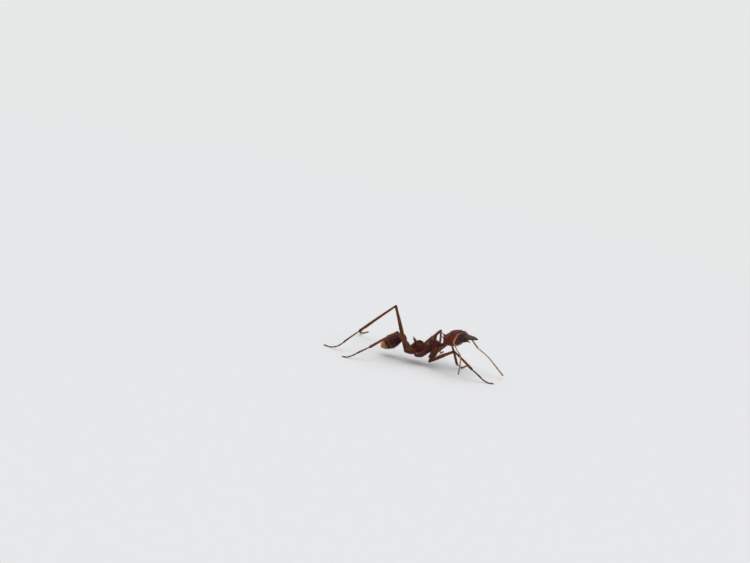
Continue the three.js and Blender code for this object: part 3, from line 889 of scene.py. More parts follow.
def make_head():
    front_edge = [(0.98, 0.62, 0.0), (1.12, 0.4, 0.06), (1.2, 0.17, 0.1), (1.205, 0, 0.1)]
    front_edge += [(x, -y, z) for x, y, z in front_edge[2::-1]]
    shells = [
        head_dome(),
        blob((0.84, 0, 0.26), (0.38, 0.36, 0.2), pitch=-24),
        tapered(front_edge, [(0, 0.04), (0.5, 0.05), (1, 0.04)], rows=50),
        blob((1.02, 0, 0.1), (0.19, 0.52, 0.12), pitch=-20),
        blob((0.82, 0, -0.39), (0.27, 0.42, 0.15), pitch=8),
    ]
    spines = []
    for side in SIDES.values():
        shells += head_side(side)
        spines += horns(HEAD_SPINES, side)
    skin = fused_with(spines, shells, BODY_VOXEL, 9)
    p = skin.points
    x, y, z = p.T
    wide = np.abs(y)
    above, below = smoothstep(-0.1, 0.3, z), smoothstep(-0.2, -0.5, z)

    crown_furrow = groove(y, 0.03, 0.03) * above * smoothstep(0.5, 0.2, x)
    throat_groove = groove(y, 0.04, 0.02) * below * smoothstep(0.7, 0.5, x)
    clypeus_back = 0.56 + 1.1 * np.maximum(wide - 0.05, 0)
    clypeus_edge = groove(x - clypeus_back, 0.035, 0.022) * above * smoothstep(0.26, 0.2, wide)
    clypeus_notch = groove(y, 0.1, 0.03) * smoothstep(1.1, 1.2, x)
    feeler_track = groove(wide - (0.6 + 0.3 * (0.6 - x)), 0.09, 0.022) * above
    feeler_track *= smoothstep(-0.2, 0.2, x) * smoothstep(0.85, 0.6, x)
    face_lines = 0.0035 * np.sin(80 * (y + 0.1 * np.sin(3 * x))) * smoothstep(-0.1, 0.9, x)
    face_lines *= above * smoothstep(0.7, 0.5, wide)
    cheek_lines = 0.003 * np.sin(85 * (z + 0.1 * np.sin(4 * x))) * smoothstep(0.2, 0.9, x)
    cheek_lines *= smoothstep(0.55, 0.8, wide)
    relief = crown_furrow + throat_groove + clypeus_edge + clypeus_notch
    relief += feeler_track + face_lines + cheek_lines
    for side in SIDES.values():
        from_socket = np.linalg.norm(p - mirrored(SOCKET, side), axis=1)
        relief -= 0.06 * smoothstep(0.115, 0.05, from_socket)
    skin.swollen(relief * (1 - skin.tone))

    skin.tone = 0.8 * smoothstep(0.3, 0.85, x) + 0.45 * below + 0.25 * bump_at(y, 0, 0.1) * above
    for side in SIDES.values():
        from_eye = np.linalg.norm((p - eye_place(side)) * (1, 1, 1.2), axis=1)
        skin.tone += 0.5 * bump_at(from_eye, 0.2, 0.07)
    skin.pale = 0.3 * smoothstep(0.3, -0.2, x) * smoothstep(0.55, 1.0, wide) * smoothstep(0.35, -0.1, z)
    skin.place = np.column_stack(((z + 0.8) / 1.7, x, y))
    skin.run = pitched(np.column_stack((1 + 0 * x, -0.3 * y, -0.2 + 0 * x)), HEAD_PITCH)
    skin.points = head_point(skin.points)
    add_piece("head_skin", skin, HEAD_SKIN, "head", "head")
    return skin


def faceted_eye(side):
    """An ellipsoid of small domed lenses: the cells round the points of a fine ball."""
    bm = bmesh.new()
    bmesh.ops.create_icosphere(bm, subdivisions=4, radius=1)
    bm.faces.index_update()
    points = [face.calc_center_median().normalized() * (1 - LENS_DOME) for face in bm.faces]
    faces = []
    for vert in bm.verts:
        spoke = lambda face: face.calc_center_median() - vert.co
        u = spoke(vert.link_faces[0]).normalized()
        v = vert.co.cross(u)
        angle = lambda face: np.arctan2(spoke(face).dot(v), spoke(face).dot(u))
        around = sorted(vert.link_faces, key=angle)
        inner, count = len(points), len(around)
        for face in around:
            between = vert.co.lerp(face.calc_center_median(), 0.55).normalized()
            points.append(between * (1 + 0.35 * LENS_DOME))
        points.append(vert.co * (1 + LENS_DOME))
        for k in range(count):
            m = (k + 1) % count
            faces.append((around[k].index, around[m].index, inner + m, inner + k))
            faces.append((inner + k, inner + m, inner + count))
    ball = np.array([tuple(point) for point in points]) * EYE_HALF
    bm.free()
    return Shell(head_point(yawed(ball, EYE_TURN * side) + eye_place(side)), faces)


JAW_BASE = (1.07, 0, -0.1)
JAW_PITCH = 6
JAW_LENGTH = 1.2
JAW_FIRST_TOOTH = 0.42  # from the hinge, along the blade
JAW_TEETH = 6
JAW_ROWS = 150
JAW_AROUND = 48


def jaw(side):
    """A curved three-sided blade, thick along its outer edge and cut into teeth along its inner."""
    s = np.linspace(0, 1, JAW_ROWS)
    t = 1 - s
    tip, bow, heel = (JAW_LENGTH, 0.12), (0.62 * JAW_LENGTH, 0.86), (-0.1, 0.8)
    outer = np.outer(s * s, tip) + np.outer(2 * s * t, bow) + np.outer(t * t, heel)
    inner_x = through([(0, -0.1), (0.4, JAW_FIRST_TOOTH), (1, JAW_LENGTH)], s)
    inner_y = through([(-0.1, 0.34), (JAW_FIRST_TOOTH, 0.13), (0.9, 0.1), (JAW_LENGTH, 0.115)], inner_x)
    inner = np.column_stack((inner_x, inner_y))
    count = (inner_x - JAW_FIRST_TOOTH) / (JAW_LENGTH - JAW_FIRST_TOOTH) * JAW_TEETH
    saw = np.where(count > 0, count % 1, 0)
    tooth = np.where(saw < 0.66, saw / 0.66, (1 - saw) / 0.34)
    large = 0.7 + 0.5 * smoothstep(0, JAW_TEETH, count)
    notch = (1 - tooth ** 1.3) * 0.11 * large * smoothstep(-0.25, 0.5, count)
    notch = np.minimum(notch, 0.55 * np.maximum(outer[:, 1] - inner_y, 0))
    thick = through([(0, 0.17), (0.35, 0.165), (0.75, 0.095), (0.93, 0.04), (1, 0.004)], s)

    turn = circle(JAW_AROUND)
    towards_inner = (1 - np.cos(turn)) / 2
    sharp = towards_inner ** 1.5
    row = s[:, None]
    flat = outer[:, None] + towards_inner[:, None] * (inner - outer)[:, None]
    flat[..., 1] += np.outer(notch, sharp)
    ribs = 1 - 0.13 * np.abs(np.sin(3.5 * pi * towards_inner)) * (np.sin(turn) > 0)
    ribs = ribs - 0.03 * np.abs(np.sin(11 * pi * towards_inner + 2 * row)) * (1 - row)
    height = np.outer(thick, np.sin(turn) * (1 - 0.6 * sharp)) * ribs
    droop = -0.1 * row ** 2 + 0.05 * towards_inner * (1 - row ** 6)
    rings = np.stack((flat[..., 0], flat[..., 1] * side, height * side + droop), -1)
    rings = pitched(rings, JAW_PITCH) + head_point(JAW_BASE)
    mean = rings.mean(axis=1)
    blade = Shell(*lofted(rings, mean[0], mean[-1]))
    along = per_point(s, JAW_AROUND)
    edge = np.concatenate(([0], np.tile(towards_inner, JAW_ROWS), [1]))
    blade.tone = np.clip(0.15 + 0.9 * edge * smoothstep(0.15, 0.6, along) + 0.5 * along, 0, 1)
    blade.run[:] = pitched((1, -0.3 * side, 0), JAW_PITCH)
    blade.place = np.column_stack((along, np.cos(edge * pi), np.sin(edge * pi)))
    return blade


def palp(side, points, size, joint_count):
    """A feeler of the mouth, with narrow waists between its joints."""
    share = np.linspace(0, 1, 60)
    waist = 0.3 * np.abs(np.cos(pi * joint_count * share)) ** 14
    return tube(curve(mirrored(points, side), 60), size * (1 - waist) * (1 - 0.25 * share), 12)


def make_mouth():
    """The upper lip under the face, the plates behind the jaws and their small jointed palps."""
    shells = [
        blob((1.12, 0, -0.16), (0.14, 0.17, 0.05), pitch=-40),
        blob((0.98, 0, -0.47), (0.26, 0.11, 0.1), pitch=-8),
    ]
    for side in SIDES.values():
        shells += [
            blob((0.98, 0.19 * side, -0.45), (0.27, 0.095, 0.11), turn=-6 * side, pitch=-4),
            blob((1.14, 0.1 * side, -0.44), (0.1, 0.06, 0.06), pitch=-14),
            palp(side, [(1.12, 0.25, -0.5), (1.24, 0.3, -0.6), (1.36, 0.29, -0.7)], 0.024, 4),
            palp(side, [(1.18, 0.08, -0.5), (1.27, 0.09, -0.6), (1.33, 0.07, -0.68)], 0.02, 3),
        ]
    mouth = joined(shells)
    mouth.points = head_point(mouth.points)
    mouth.tone[:] = 0.35
    add_piece("mouth", mouth, JAW_SKIN, "head")


def make_eyes_and_jaws():
    off_edge = lambda roots, out: smoothstep(0.3, 0.7, np.abs(out[:, 2]))
    for name, side in SIDES.items():
        add_piece(f"faceted_eye_{name}", faceted_eye(side), EYE_LENSES, "eyes", f"eye_{name}")
        blade = jaw(side)
        add_piece(f"toothed_jaw_{name}", blade, JAW_SKIN, "mandibles", f"mandible_{name}")
        add_bristles(f"bristles_jaw_{name}", blade, "jaw", BODY_BRISTLE, 31 + side, off_edge)


# ------------------------------------------------------------------ feelers


SCAPE_PROFILE = [
    (0, 0.06),
    (0.015, 0.07),
    (0.04, 0.042),
    (0.1, 0.052),
    (0.5, 0.064),
    (0.85, 0.076),
    (0.96, 0.082),
    (1, 0.066),
]
LASH_ENDS = [0.15, 0.215, 0.28, 0.345, 0.415, 0.49, 0.57, 0.66, 0.78, 1.0]  # of its joints, along it
LASH_SIZES = [0.06, 0.057, 0.058, 0.06, 0.063, 0.066, 0.07, 0.075, 0.08, 0.08]
JOINT_PROFILE = [(0, 0.6), (0.12, 0.72), (0.5, 0.9), (0.82, 1.0), (0.95, 0.95), (1, 0.84)]
JOINT_GAP = 0.004  # the share of a path that is left between two joints


def segment_chain(path, ends, widths):
    """Cup-shaped joints along a path: where each ends, and its thickness at its far end."""
    line = np.column_stack((np.linspace(0, 1, len(path)), path))
    shells = []
    for start, end, width in zip([0.0] + ends[:-1], ends, widths):
        rows = max(14, int(120 * (end - start)))
        middles = places(line, np.linspace(start, end - JOINT_GAP, rows))
        radii = width * profile(JOINT_PROFILE, rows)
        joint = tube(middles, radii, 18, span=(start, end), joint_tone=0.5)
        joint.pale = 0.5 * smoothstep(0.025, 0.0, joint.place[:, 0] - start)
        shells.append(joint)
    return shells


def make_feelers():
    for name, side in SIDES.items():
        stalk = FEELERS[name]["scape"]
        scape = tapered(stalk, SCAPE_PROFILE, rows=70, around=20, joint_tone=0.4, span=(0, 0.45))
        # Painted sheen in part: the scape turns paler towards its tip, for its pale down and for a painted
        # sky sheen.
        scape.pale = 0.35 * smoothstep(0.0, 0.4, scape.place[:, 0])
        beads = segment_chain(curve(FEELERS[name]["lash"], 90), LASH_ENDS, LASH_SIZES)
        for bead in beads:
            bead.place[:, 0] = 0.5 + 0.5 * bead.place[:, 0]
            # Painted sheen in part: the whole lash is turned pale, for its pale down and for a painted sky
            # sheen.
            bead.pale = np.maximum(bead.pale, 0.6)
        feeler = joined([scape] + beads)
        nodes = [f"{part}_{name}" for part in ("scape", "funiculus_base", "funiculus_tip")]
        add_piece(f"feeler_{name}", feeler, FEELER_SKIN_AND_PAINTED_SHEEN, "antennae", *nodes)
        add_bristles(f"down_feeler_{name}", feeler, "feeler", FEELER_DOWN_AND_PAINTED_SHEEN, 41 + side)


# ------------------------------------------------------------------ thorax, waist and gaster


def trunk():
    """The thorax without its hips and spines: full rings through its stations."""
    x = np.linspace(THORAX_STATIONS[0][0], THORAX_STATIONS[-1][0], 90)
    top, bottom, half = places(THORAX_STATIONS, x).T
    turn = circle(64)
    middle = (top + bottom) / 2
    rings = np.stack((
        np.repeat(x[:, None], len(turn), axis=1),
        np.outer(half, fuller(np.cos(turn), 0.85)),
        middle[:, None] + np.outer((top - bottom) / 2, fuller(np.sin(turn), 0.85)),
    ), -1)
    return Shell(*lofted(rings, (x[0], 0, middle[0]), (x[-1], 0, middle[-1])))


def thorax_side(side):
    """Swellings of the flank, the sockets of the hips and the keel of the back, on one side."""
    hips = [
        ([(1.66, 0.5, 1.86), (1.62, 0.53, 1.74)], 0.27),
        ([(0.66, 0.42, 1.26), (0.58, 0.47, 1.23)], 0.26),
        ([(-0.21, 0.42, 1.25), (-0.29, 0.46, 1.235)], 0.26),
    ]
    keel = [(0.35, 0.16, 2.16), (0.05, 0.19, 2.21), (-0.25, 0.25, 2.13)]
    return [
        blob((0.72, 0.26 * side, 1.42), (0.36, 0.2, 0.3)),
        blob((-0.42, 0.33 * side, 1.28), (0.2, 0.12, 0.13)),
        blob((-0.12, 0.3 * side, 1.75), (0.3, 0.17, 0.26)),
        *(tube(mirrored(path, side), size, 24) for path, size in hips),
        tapered(mirrored(keel, side), [(0, 0.02), (0.5, 0.045), (1, 0.03)], rows=16),
    ]


def make_thorax():
    """Three fused rings of the trunk with their spines, in one skin with grooved sutures."""
    neck = [(1.7, 0, 2.12), (2.05, 0, 2.28), (2.5, 0, 2.53)]
    neck_profile = [(0, 0.24), (0.5, 0.15), (0.8, 0.165), (1, 0.15)]
    shells, spines = [trunk(), tapered(neck, neck_profile, rows=20, around=24)], []
    for side in SIDES.values():
        spines += horns(THORAX_SPINES, side)
        shells += thorax_side(side)
    skin = fused_with(spines, shells, BODY_VOXEL, 5)
    x, y, z = skin.points.T
    wide = np.abs(y)

    front = groove(x - (1.145 - 0.1 * (z - 2.0)), 0.035, 0.045)
    rear = groove(x - (0.415 + 0.18 * (z - 2.0)), 0.035, 0.04)
    flank = groove(z - (1.72 - 0.35 * (x - 0.7)), 0.026, 0.025) * smoothstep(0.15, 0.3, wide)
    flank *= smoothstep(0.4, 0.5, x) * smoothstep(1.1, 1.0, x)
    slope = groove(z - (1.5 + 0.25 * (x + 0.2)), 0.026, 0.02) * smoothstep(0.12, 0.28, wide)
    slope *= smoothstep(0.38, 0.25, x)
    seams = front + rear + flank + slope
    furrow = groove(y, 0.05, 0.03) * smoothstep(0.5, 0.35, x) * (z > 1.6)
    wrinkles = 0.005 * np.sin(58 * z + 5 * np.sin(4 * x)) * smoothstep(0.25, 0.4, wide)
    wrinkles *= smoothstep(1.2, 0.9, x)
    wrinkles += 0.004 * np.sin(62 * y) * smoothstep(1.3, 1.5, x) * smoothstep(2.1, 2.3, z)
    from_pore = np.linalg.norm(skin.points * (1, 0, 1) - BREATHING_PORE, axis=1)
    pore = groove(from_pore - 0.05, 0.018, -0.014) + groove(from_pore, 0.028, 0.035)
    pore *= smoothstep(0.25, 0.35, wide)
    skin.swollen((seams + furrow + wrinkles + pore) * (1 - skin.tone))

    spine_tips = smoothstep(2.75, 3.3, z) + 0.8 * smoothstep(2.62, 2.85, z) * (x < 1.12)
    spine_tips += smoothstep(-0.5, -0.72, x) * smoothstep(2.15, 2.4, z)
    skin.tone = np.clip(-14 * seams + 0.4 * smoothstep(1.35, 1.05, z) + 0.3 * spine_tips, 0, 1)
    skin.pale = 0.2 * smoothstep(2.02, 2.2, x) * smoothstep(2.5, 2.3, x) + 0.25 * spine_tips
    skin.run = np.column_stack((-1 + 0 * x, 0.15 * y, -0.3 + 0 * z))
    skin.place = np.column_stack(((x + 0.9) / 3.5, y, z - 1.8))
    add_piece("thorax_skin", skin, THORAX_SKIN, "thorax", "pronotum", "mesothorax", "propodeum")
    return skin


def ringed(ends, stations, count, around=72):
    """A straight body segment through [share, half width, half height] stations, with round ends."""
    start, end = np.array(ends, float)
    axis = end - start
    along = unit(axis)
    share = np.linspace(stations[0][0], stations[-1][0], count)
    turn = circle(around)
    section = 0
    for column, wave, way in ((1, np.cos(turn), Y_AXIS), (2, np.sin(turn), np.cross(along, Y_AXIS))):
        half = through(stations, share, column)
        section = section + half[:, None, None] * np.outer(fuller(wave, 0.92), way)
    middles = start + share[:, None] * axis
    shell = Shell(*lofted(middles[:, None] + section, middles[0], middles[-1]))
    shell.run[:] = along
    set_places(shell, share, around)
    return shell


PETIOLE = ((-0.84, 0, 1.28), (-1.28, 0, 1.8))
PETIOLE_STATIONS = [
    (0, 0.15, 0.14),
    (0.3, 0.185, 0.165),
    (0.62, 0.265, 0.215),
    (0.85, 0.235, 0.2),
    (1, 0.15, 0.13),
]
PETIOLE_SPINE = ((-1.12, 0.12, 1.72), (-1.2, 0.17, 1.93), 0.05)
POSTPETIOLE = ((-1.27, 0, 1.79), (-1.8, 0, 2.42))
POSTPETIOLE_STATIONS = [
    (0, 0.15, 0.11),
    (0.12, 0.24, 0.17),
    (0.38, 0.415, 0.24),
    (0.7, 0.455, 0.26),
    (0.9, 0.36, 0.21),
    (1, 0.2, 0.14),
]


def make_waist():
    """The two knots between thorax and gaster."""
    first = [ringed(PETIOLE, PETIOLE_STATIONS, 30)]
    second = [ringed(POSTPETIOLE, POSTPETIOLE_STATIONS, 40)]
    spines = []
    for side in SIDES.values():
        first.append(blob((-0.98, 0.12 * side, 1.28), (0.08, 0.06, 0.05)))
        second.append(blob((-1.42, 0.3 * side, 2.12), (0.14, 0.12, 0.13)))
        spines += horns([PETIOLE_SPINE], side)
    skins = []
    knots = (("petiole", first, spines, 0), ("postpetiole", second, [], 0.02))
    for name, shells, own_spines, furrow_depth in knots:
        skin = fused_with(own_spines, shells, WAIST_VOXEL, 4)
        x, y, z = skin.points.T
        creases = 0.003 * np.sin(70 * (z - 0.6 * x))
        skin.swollen((creases + groove(y, 0.05, furrow_depth)) * (1 - skin.tone))
        skin.tone = 0.3 * smoothstep(0.2, 0.02, np.abs(y)) + 0.15
        skin.run = np.column_stack((-0.75 + 0 * x, 0.2 * y, 0.2 + 0 * z))
        skin.place = np.column_stack(((-x - 0.8) / 1.1, y, z - 1.8 + 0.9 * (x + 1.3)))
        add_piece(f"{name}_skin", skin, WAIST_SKIN, "waist", name)
        skins.append(skin)
    return joined(skins)


GASTER_PLATES = [  # where each ring starts and ends along the gaster, how far it stands proud
    (0.0, 0.59, 0.0),
    (0.5, 0.735, -0.02),
    (0.66, 0.85, -0.022),
    (0.79, 0.935, -0.022),
    (0.88, 1.01, -0.02),
]
GASTER_TIP_RING = 3  # the first ring of the gaster's tip
GASTER_STATIONS = [  # share of the length, half width, half height
    (0, 0.19, 0.15),
    (0.03, 0.31, 0.26),
    (0.08, 0.44, 0.37),
    (0.2, 0.66, 0.52),
    (0.4, 0.82, 0.64),
    (0.58, 0.81, 0.64),
    (0.73, 0.68, 0.54),
    (0.86, 0.47, 0.385),
    (0.95, 0.26, 0.22),
    (1.01, 0.07, 0.06),
]


def make_gaster():
    """Overlapping ring plates with their pale folds; the last ones run out to an amber tip."""
    plates = []
    fold_at = 0
    for number, (start, end, proud) in enumerate(GASTER_PLATES):
        rows = 44 if number else 90
        share = np.linspace(start, end, rows)
        edge = (share - start) / (end - start)
        lip = 0.02 * smoothstep(0.86, 0.97, edge) - 0.09 * smoothstep(0.975, 1.0, edge)
        lip *= number < len(GASTER_PLATES) - 1  # the last ring has none
        sizes = [through(GASTER_STATIONS, share, column) + proud + lip for column in (1, 2)]
        plate = ringed(GASTER, np.column_stack((share, *np.maximum(sizes, 0.02))), rows, around=96)
        at, c, s = plate.place.T
        around = np.arctan2(s, c)
        seam = bump_at(around, radians(28), 0.035) + bump_at(around, radians(152), 0.035)
        creases = 0.0022 * np.sin(190 * at) * smoothstep(0.1, 0.3, at)
        plate.swollen(-0.03 * seam * smoothstep(0.08, 0.2, at) + creases)
        fold = smoothstep(fold_at + 0.03, fold_at, at) * (number > 0)
        fold_at = end
        pale = 0.4 * fold + 0.95 * smoothstep(0.72, 0.86, at) + 0.25 * seam * smoothstep(0.3, 0.5, at)
        rear_edge = smoothstep(end - 0.05, end, at) * (number < GASTER_TIP_RING)
        tone = 0.5 * rear_edge + 0.35 * bump_at(at, 0.05, 0.08)
        plate.pale, plate.tone = np.clip((pale, tone), 0, 1)
        plates.append(plate)
    front, rear = joined(plates[:GASTER_TIP_RING]), joined(plates[GASTER_TIP_RING:])
    add_piece("gaster_plates", front, GASTER_SKIN, "gaster", "gaster")
    add_piece("gaster_tip_plates", rear, GASTER_SKIN, "gaster_tip", "gaster_tip")
    return joined(plates)


# ------------------------------------------------------------------ legs


def heading(outward, pitch, side):
    """A unit vector from its angle outward from +X and its angle up."""
    out, up = radians(outward), radians(pitch)
    return np.array((cos(up) * cos(out), cos(up) * sin(out) * side, sin(up)))


def leg_joints(pair, side, turns):
    """Hip, end of coxa, end of trochanter, knee, ankle, heel and toe of a leg."""
    hip, *lengths, foot = LEG_PAIRS[pair]
    points = [mirrored(hip, side)]
    for length, turn in zip(lengths, turns):
        points.append(points[-1] + length * heading(*turn, side))
    sloping_heading, level_heading, sloping_share = turns[4:]
    slope = foot * sloping_share
    drop = degrees(asin((points[-1][2] - SOLE_HEIGHT) / slope))
    points.append(points[-1] + slope * heading(sloping_heading, -drop, side))
    points.append(points[-1] + (foot - slope) * heading(level_heading, 0, side))
    return points


COXA_PROFILE = [(0, 0.2), (0.2, 0.265), (0.5, 0.275), (0.8, 0.2), (0.93, 0.14), (1, 0.125)]
TROCHANTER_PROFILE = [(0, 0.085), (0.3, 0.13), (0.7, 0.145), (1, 0.11)]
FEMUR_PROFILE = [
    (0, 0.085),
    (0.06, 0.105),
    (0.3, 0.15),
    (0.5, 0.152),
    (0.8, 0.118),
    (0.93, 0.115),
    (0.98, 0.125),
    (1, 0.105),
]
TIBIA_PROFILE = [
    (0, 0.075),
    (0.03, 0.098),
    (0.07, 0.08),
    (0.2, 0.095),
    (0.6, 0.112),
    (0.9, 0.122),
    (0.98, 0.12),
    (1, 0.09),
]
LOBE_PROFILE = [(0, 0.02), (0.6, 0.045), (0.85, 0.052), (1, 0.04)]
SPUR_PROFILE = [(0, 0.02), (0.5, 0.014), (1, 0.003)]
SPUR_LENGTHS = {"fore": 0.2, "mid": 0.14, "hind": 0.14}
CLAW_PROFILE = [(0, 0.026), (0.35, 0.024), (0.75, 0.014), (1, 0.004)]
THIGH_SPAN = (0.2, 0.48)  # where the thigh lies along the unwrapped leg
FOOT_ENDS = [0.5, 0.66, 0.77, 0.85, 1.0]  # of its joints, along it
FOOT_SIZES = [0.078, 0.07, 0.067, 0.066, 0.062]


def at_height(point, height):
    return point * (1, 1, 0) + Z_AXIS * height


def foot_path(ankle, heel, toe):
    """The line of the foot's joints: down from the ankle, then close over the floor."""
    low_heel, low_toe = at_height(heel, 0.1), at_height(toe, 0.078)
    bow = ankle + 0.5 * (low_heel - ankle) + Z_AXIS * 0.03
    near_heel = ankle + 0.86 * (low_heel - ankle) + Z_AXIS * 0.02
    beyond = low_heel + 0.45 * (low_toe - low_heel) - Z_AXIS * 0.015
    return curve((ankle, bow, near_heel, beyond, low_toe), 90)


def claws(toe, forward):
    """A pair of hooked claws whose tips stand on the floor, and the soft pad between them."""
    shells = []
    level = unit(forward * (1, 1, 0))
    beside = np.cross(Z_AXIS, level)
    for spread in (-1, 1):
        out = unit(level + 0.55 * spread * beside)
        start = toe + 0.03 * spread * beside
        crook, bend = start + 0.07 * out + Z_AXIS * 0.022, start + 0.125 * out - Z_AXIS * 0.02
        tip = at_height(start + 0.15 * out, 0.006)
        claw = tapered([start, crook, bend, tip], CLAW_PROFILE, rows=22, around=10, joint_tone=0.2)
        shells.append(claw)
    pad = blob(toe + 0.05 * level - Z_AXIS * 0.02, (0.04, 0.04, 0.025), fineness=3)
    pad.pale[:] = 0.4
    return joined(shells + [pad])


def spur(ankle, down_leg, outward, length):
    bow = ankle + 0.5 * length * unit(down_leg + 0.7 * outward)
    tip = ankle + length * unit(down_leg + 0.45 * outward)
    return tapered([ankle, bow, tip], SPUR_PROFILE, rows=14, around=10)


def straight(a, b):
    return (a, (a + b) / 2, b)


def fluted(limb, flutes):
    """A limb with fine ridges along it, which fade out towards its ends, and faint cross creases."""
    along, c, s = limb.place.T
    share = (along - along.min()) / np.ptp(along)
    middle = smoothstep(0, 0.12, share) * smoothstep(1, 0.88, share)
    ridges = np.sin(flutes * np.arctan2(s, c) + 3 * np.sin(9 * share))
    return limb.swollen(0.0035 * middle * ridges + 0.0015 * np.sin(230 * share) * (1 - middle))


def knee_lobes(knee, thigh_axis, beside):
    """The thigh's end: a lobe on each side that clasps the head of the shin."""
    lobes = []
    for spread in (-1, 1):
        start = knee - 0.2 * thigh_axis + 0.05 * spread * beside
        end = knee + 0.03 * thigh_axis + 0.07 * spread * beside
        lobe = tapered(straight(start, end), LOBE_PROFILE, rows=24, around=18)
        lobe.tone[:] = 0.6
        lobes.append(lobe)
    return lobes


def thigh_and_shin(coxa_end, trochanter_end, knee, ankle, spur_length):
    """The leg from the hip's link to the spur of the shin, bowed a little, with its knee."""
    link = tapered(
        straight(coxa_end, trochanter_end), TROCHANTER_PROFILE,
        rows=20, around=26, joint_tone=0.6, span=(0.15, 0.18),
    )
    thigh_axis, shin_axis = unit(knee - trochanter_end), unit(ankle - knee)
    lift = unit(Z_AXIS - thigh_axis * (Z_AXIS @ thigh_axis))
    bend = unit(thigh_axis - shin_axis * (thigh_axis @ shin_axis))
    middle = (trochanter_end + knee) / 2 + 0.035 * lift
    thigh = tapered(
        (trochanter_end, middle, knee), FEMUR_PROFILE,
        rows=90, around=28, flatness=1.12, joint_tone=0.75, span=THIGH_SPAN,
    )
    from_body = (thigh.place[:, 0] - THIGH_SPAN[0]) / np.ptp(THIGH_SPAN)
    thigh.tone = np.maximum(thigh.tone, 0.6 * smoothstep(0.55, 0.1, from_body))
    bow = [knee, knee + 0.07 * (ankle - knee) + 0.02 * bend, (knee + ankle) / 2 + 0.03 * bend, ankle]
    shin = tapered(bow, TIBIA_PROFILE, rows=90, around=26, joint_tone=0.75, span=(0.5, 0.76))
    knuckle = blob(knee, (0.1, 0.1, 0.1))
    knuckle.tone[:] = 0.75
    fluted(thigh, 9)
    fluted(shin, 8)
    lobes = knee_lobes(knee, thigh_axis, unit(np.cross(thigh_axis, bend)))
    return joined([link, thigh, knuckle, shin, *lobes, spur(ankle, shin_axis, -bend, spur_length)])


def make_leg(number, name):
    pair, side_name = name.split("_")
    joints = leg_joints(pair, SIDES[side_name], STANCE[name])
    hip, coxa_end, trochanter_end, knee, ankle, heel, toe = joints
    coxa_line = straight(hip, coxa_end)
    coxa = tapered(coxa_line, COXA_PROFILE, rows=44, around=36, joint_tone=0.5, span=(0, 0.14))
    add_piece(f"hip_{name}", coxa, COXA_SKIN, "coxae", f"coxa_{name}")

    limb = thigh_and_shin(coxa_end, trochanter_end, knee, ankle, SPUR_LENGTHS[pair])
    add_piece(f"thigh_and_shin_{name}", limb, LEG_SKIN, "legs", f"femur_{name}", f"tibia_{name}")

    line = foot_path(ankle, heel, toe)
    foot = joined(segment_chain(line, FOOT_ENDS, FOOT_SIZES))
    foot.place[:, 0] = 0.78 + 0.2 * foot.place[:, 0]
    add_piece(f"foot_{name}", foot, LEG_SKIN, "feet", f"tarsus_{name}")
    add_piece(f"claws_{name}", claws(line[-1], line[-1] - line[-4]), CLAW_SKIN, "feet")

    off_knee = lambda roots, out: np.clip(np.linalg.norm(roots - knee, axis=1) / 0.2 - 0.5, 0, 1)
    add_bristles(f"bristles_{name}", joined([coxa, limb]), "leg", LEG_BRISTLE, 60 + number, off_knee)
    add_bristles(f"bristles_foot_{name}", foot, "foot", LEG_BRISTLE, 80 + number)


# ------------------------------------------------------------------ the whole ant


def clear_of_eyes(roots, out):
    from_eye = np.linalg.norm(np.abs(head_local(roots)) - np.abs(EYE_AT), axis=1)
    return smoothstep(0.24, 0.3, from_eye)


def make_ant():
    head = make_head()
    make_eyes_and_jaws()
    make_mouth()
    make_feelers()
    thorax = make_thorax()
    waist = make_waist()
    gaster = make_gaster()
    for number, name in enumerate(STANCE):
        make_leg(number, name)
    add_bristles("bristles_head", head, "head", BODY_BRISTLE, 11, clear_of_eyes)
    add_bristles("bristles_thorax", thorax, "thorax", BODY_BRISTLE, 12)
    add_bristles("bristles_waist", waist, "waist", BODY_BRISTLE, 13)
    add_bristles("bristles_gaster", gaster, "gaster", BODY_BRISTLE, 14)


make_ant()

# ------------------------------------------------------------------ floor, backdrop and light

BACKDROP = (0.798, 0.804, 0.81, 1)
FLOOR_GRAINS = (0.78, 0.775, 0.765, 1), (0.81, 0.805, 0.795, 1)
FLOOR_RADIUS = 0.6  # in metres
FLOOR_FADE = (0.04, 0.16)  # where it begins and ends to run out into the backdrop, in metres


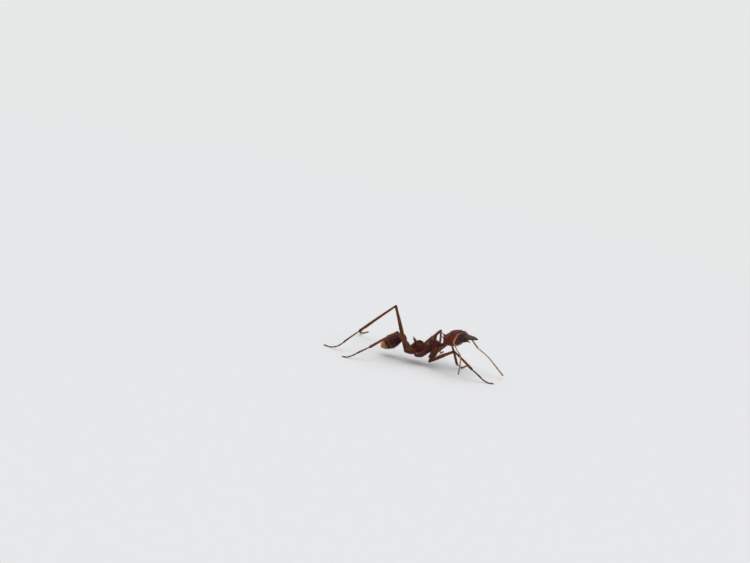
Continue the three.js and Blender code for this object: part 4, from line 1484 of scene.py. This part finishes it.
def make_floor():
    """A pale level floor that keeps the ant's shadow and runs out into the backdrop."""
    material, tree, shader = new_material("floor")
    place = node(tree, "ShaderNodeTexCoord").outputs["Object"]
    grain = noise(tree, place, 900.0, 3.0)
    tree.links.new(mixed(tree, grain, *FLOOR_GRAINS), shader.inputs["Base Color"])
    shader.inputs["Roughness"].default_value = 0.85
    shader.inputs["Specular IOR Level"].default_value = 0.1
    distance = node(tree, "ShaderNodeVectorMath", {0: place}, operation="LENGTH").outputs["Value"]
    seen = node(tree, "ShaderNodeLightPath").outputs["Is Camera Ray"]
    far = maths(tree, "MULTIPLY", ranged(tree, distance, *FLOOR_FADE), seen)
    glow = node(tree, "ShaderNodeEmission", {0: BACKDROP, 1: 1.0})
    blended = node(tree, "ShaderNodeMixShader", {0: far, 1: shader.outputs[0], 2: glow.outputs[0]})
    tree.links.new(blended.outputs[0], tree.get_output_node("ALL").inputs["Surface"])
    bm = bmesh.new()
    bmesh.ops.create_circle(bm, cap_ends=True, segments=96, radius=FLOOR_RADIUS)
    mesh = bpy.data.meshes.new("floor")
    bm.to_mesh(mesh)
    bm.free()
    mesh.materials.append(material)
    new_object("floor", mesh)


def make_world():
    """An even pale surround, a little brighter from above."""
    world = bpy.data.worlds.new("surround")
    bpy.context.scene.world = world
    world.use_nodes = True
    tree = world.node_tree
    tree.nodes.clear()
    direction = node(tree, "ShaderNodeTexCoord").outputs["Generated"]
    height = node(tree, "ShaderNodeSeparateXYZ", {0: direction}).outputs["Z"]
    up = ranged(tree, height, -0.2, 0.9, easing="LINEAR")
    sky = mixed(tree, up, (0.22, 0.225, 0.22, 1), (0.6, 0.62, 0.66, 1))
    seen = node(tree, "ShaderNodeLightPath").outputs["Is Camera Ray"]
    background = node(tree, "ShaderNodeBackground", {"Color": mixed(tree, seen, sky, BACKDROP)})
    output = node(tree, "ShaderNodeOutputWorld")
    tree.links.new(background.outputs[0], output.inputs["Surface"])


def make_lamp(name, strength, spread, azimuth, elevation, colour):
    """A broad soft lamp far off, as a window or a cloudy sky is."""
    data = bpy.data.lights.new(name, "SUN")
    data.energy = strength
    data.angle = radians(spread)
    data.color = colour
    lamp = new_object(name, data)
    lamp.rotation_euler = (radians(90 - elevation), 0, radians(azimuth))


make_floor()
make_world()
make_lamp("soft_key", 1.15, 55, -28, 62, (1.0, 0.98, 0.95))
make_lamp("soft_fill", 0.4, 70, 60, 35, (0.93, 0.96, 1.0))
make_lamp("soft_rim", 0.45, 40, 165, 48, (0.95, 0.97, 1.0))
bpy.context.scene.view_settings.view_transform = "Standard"
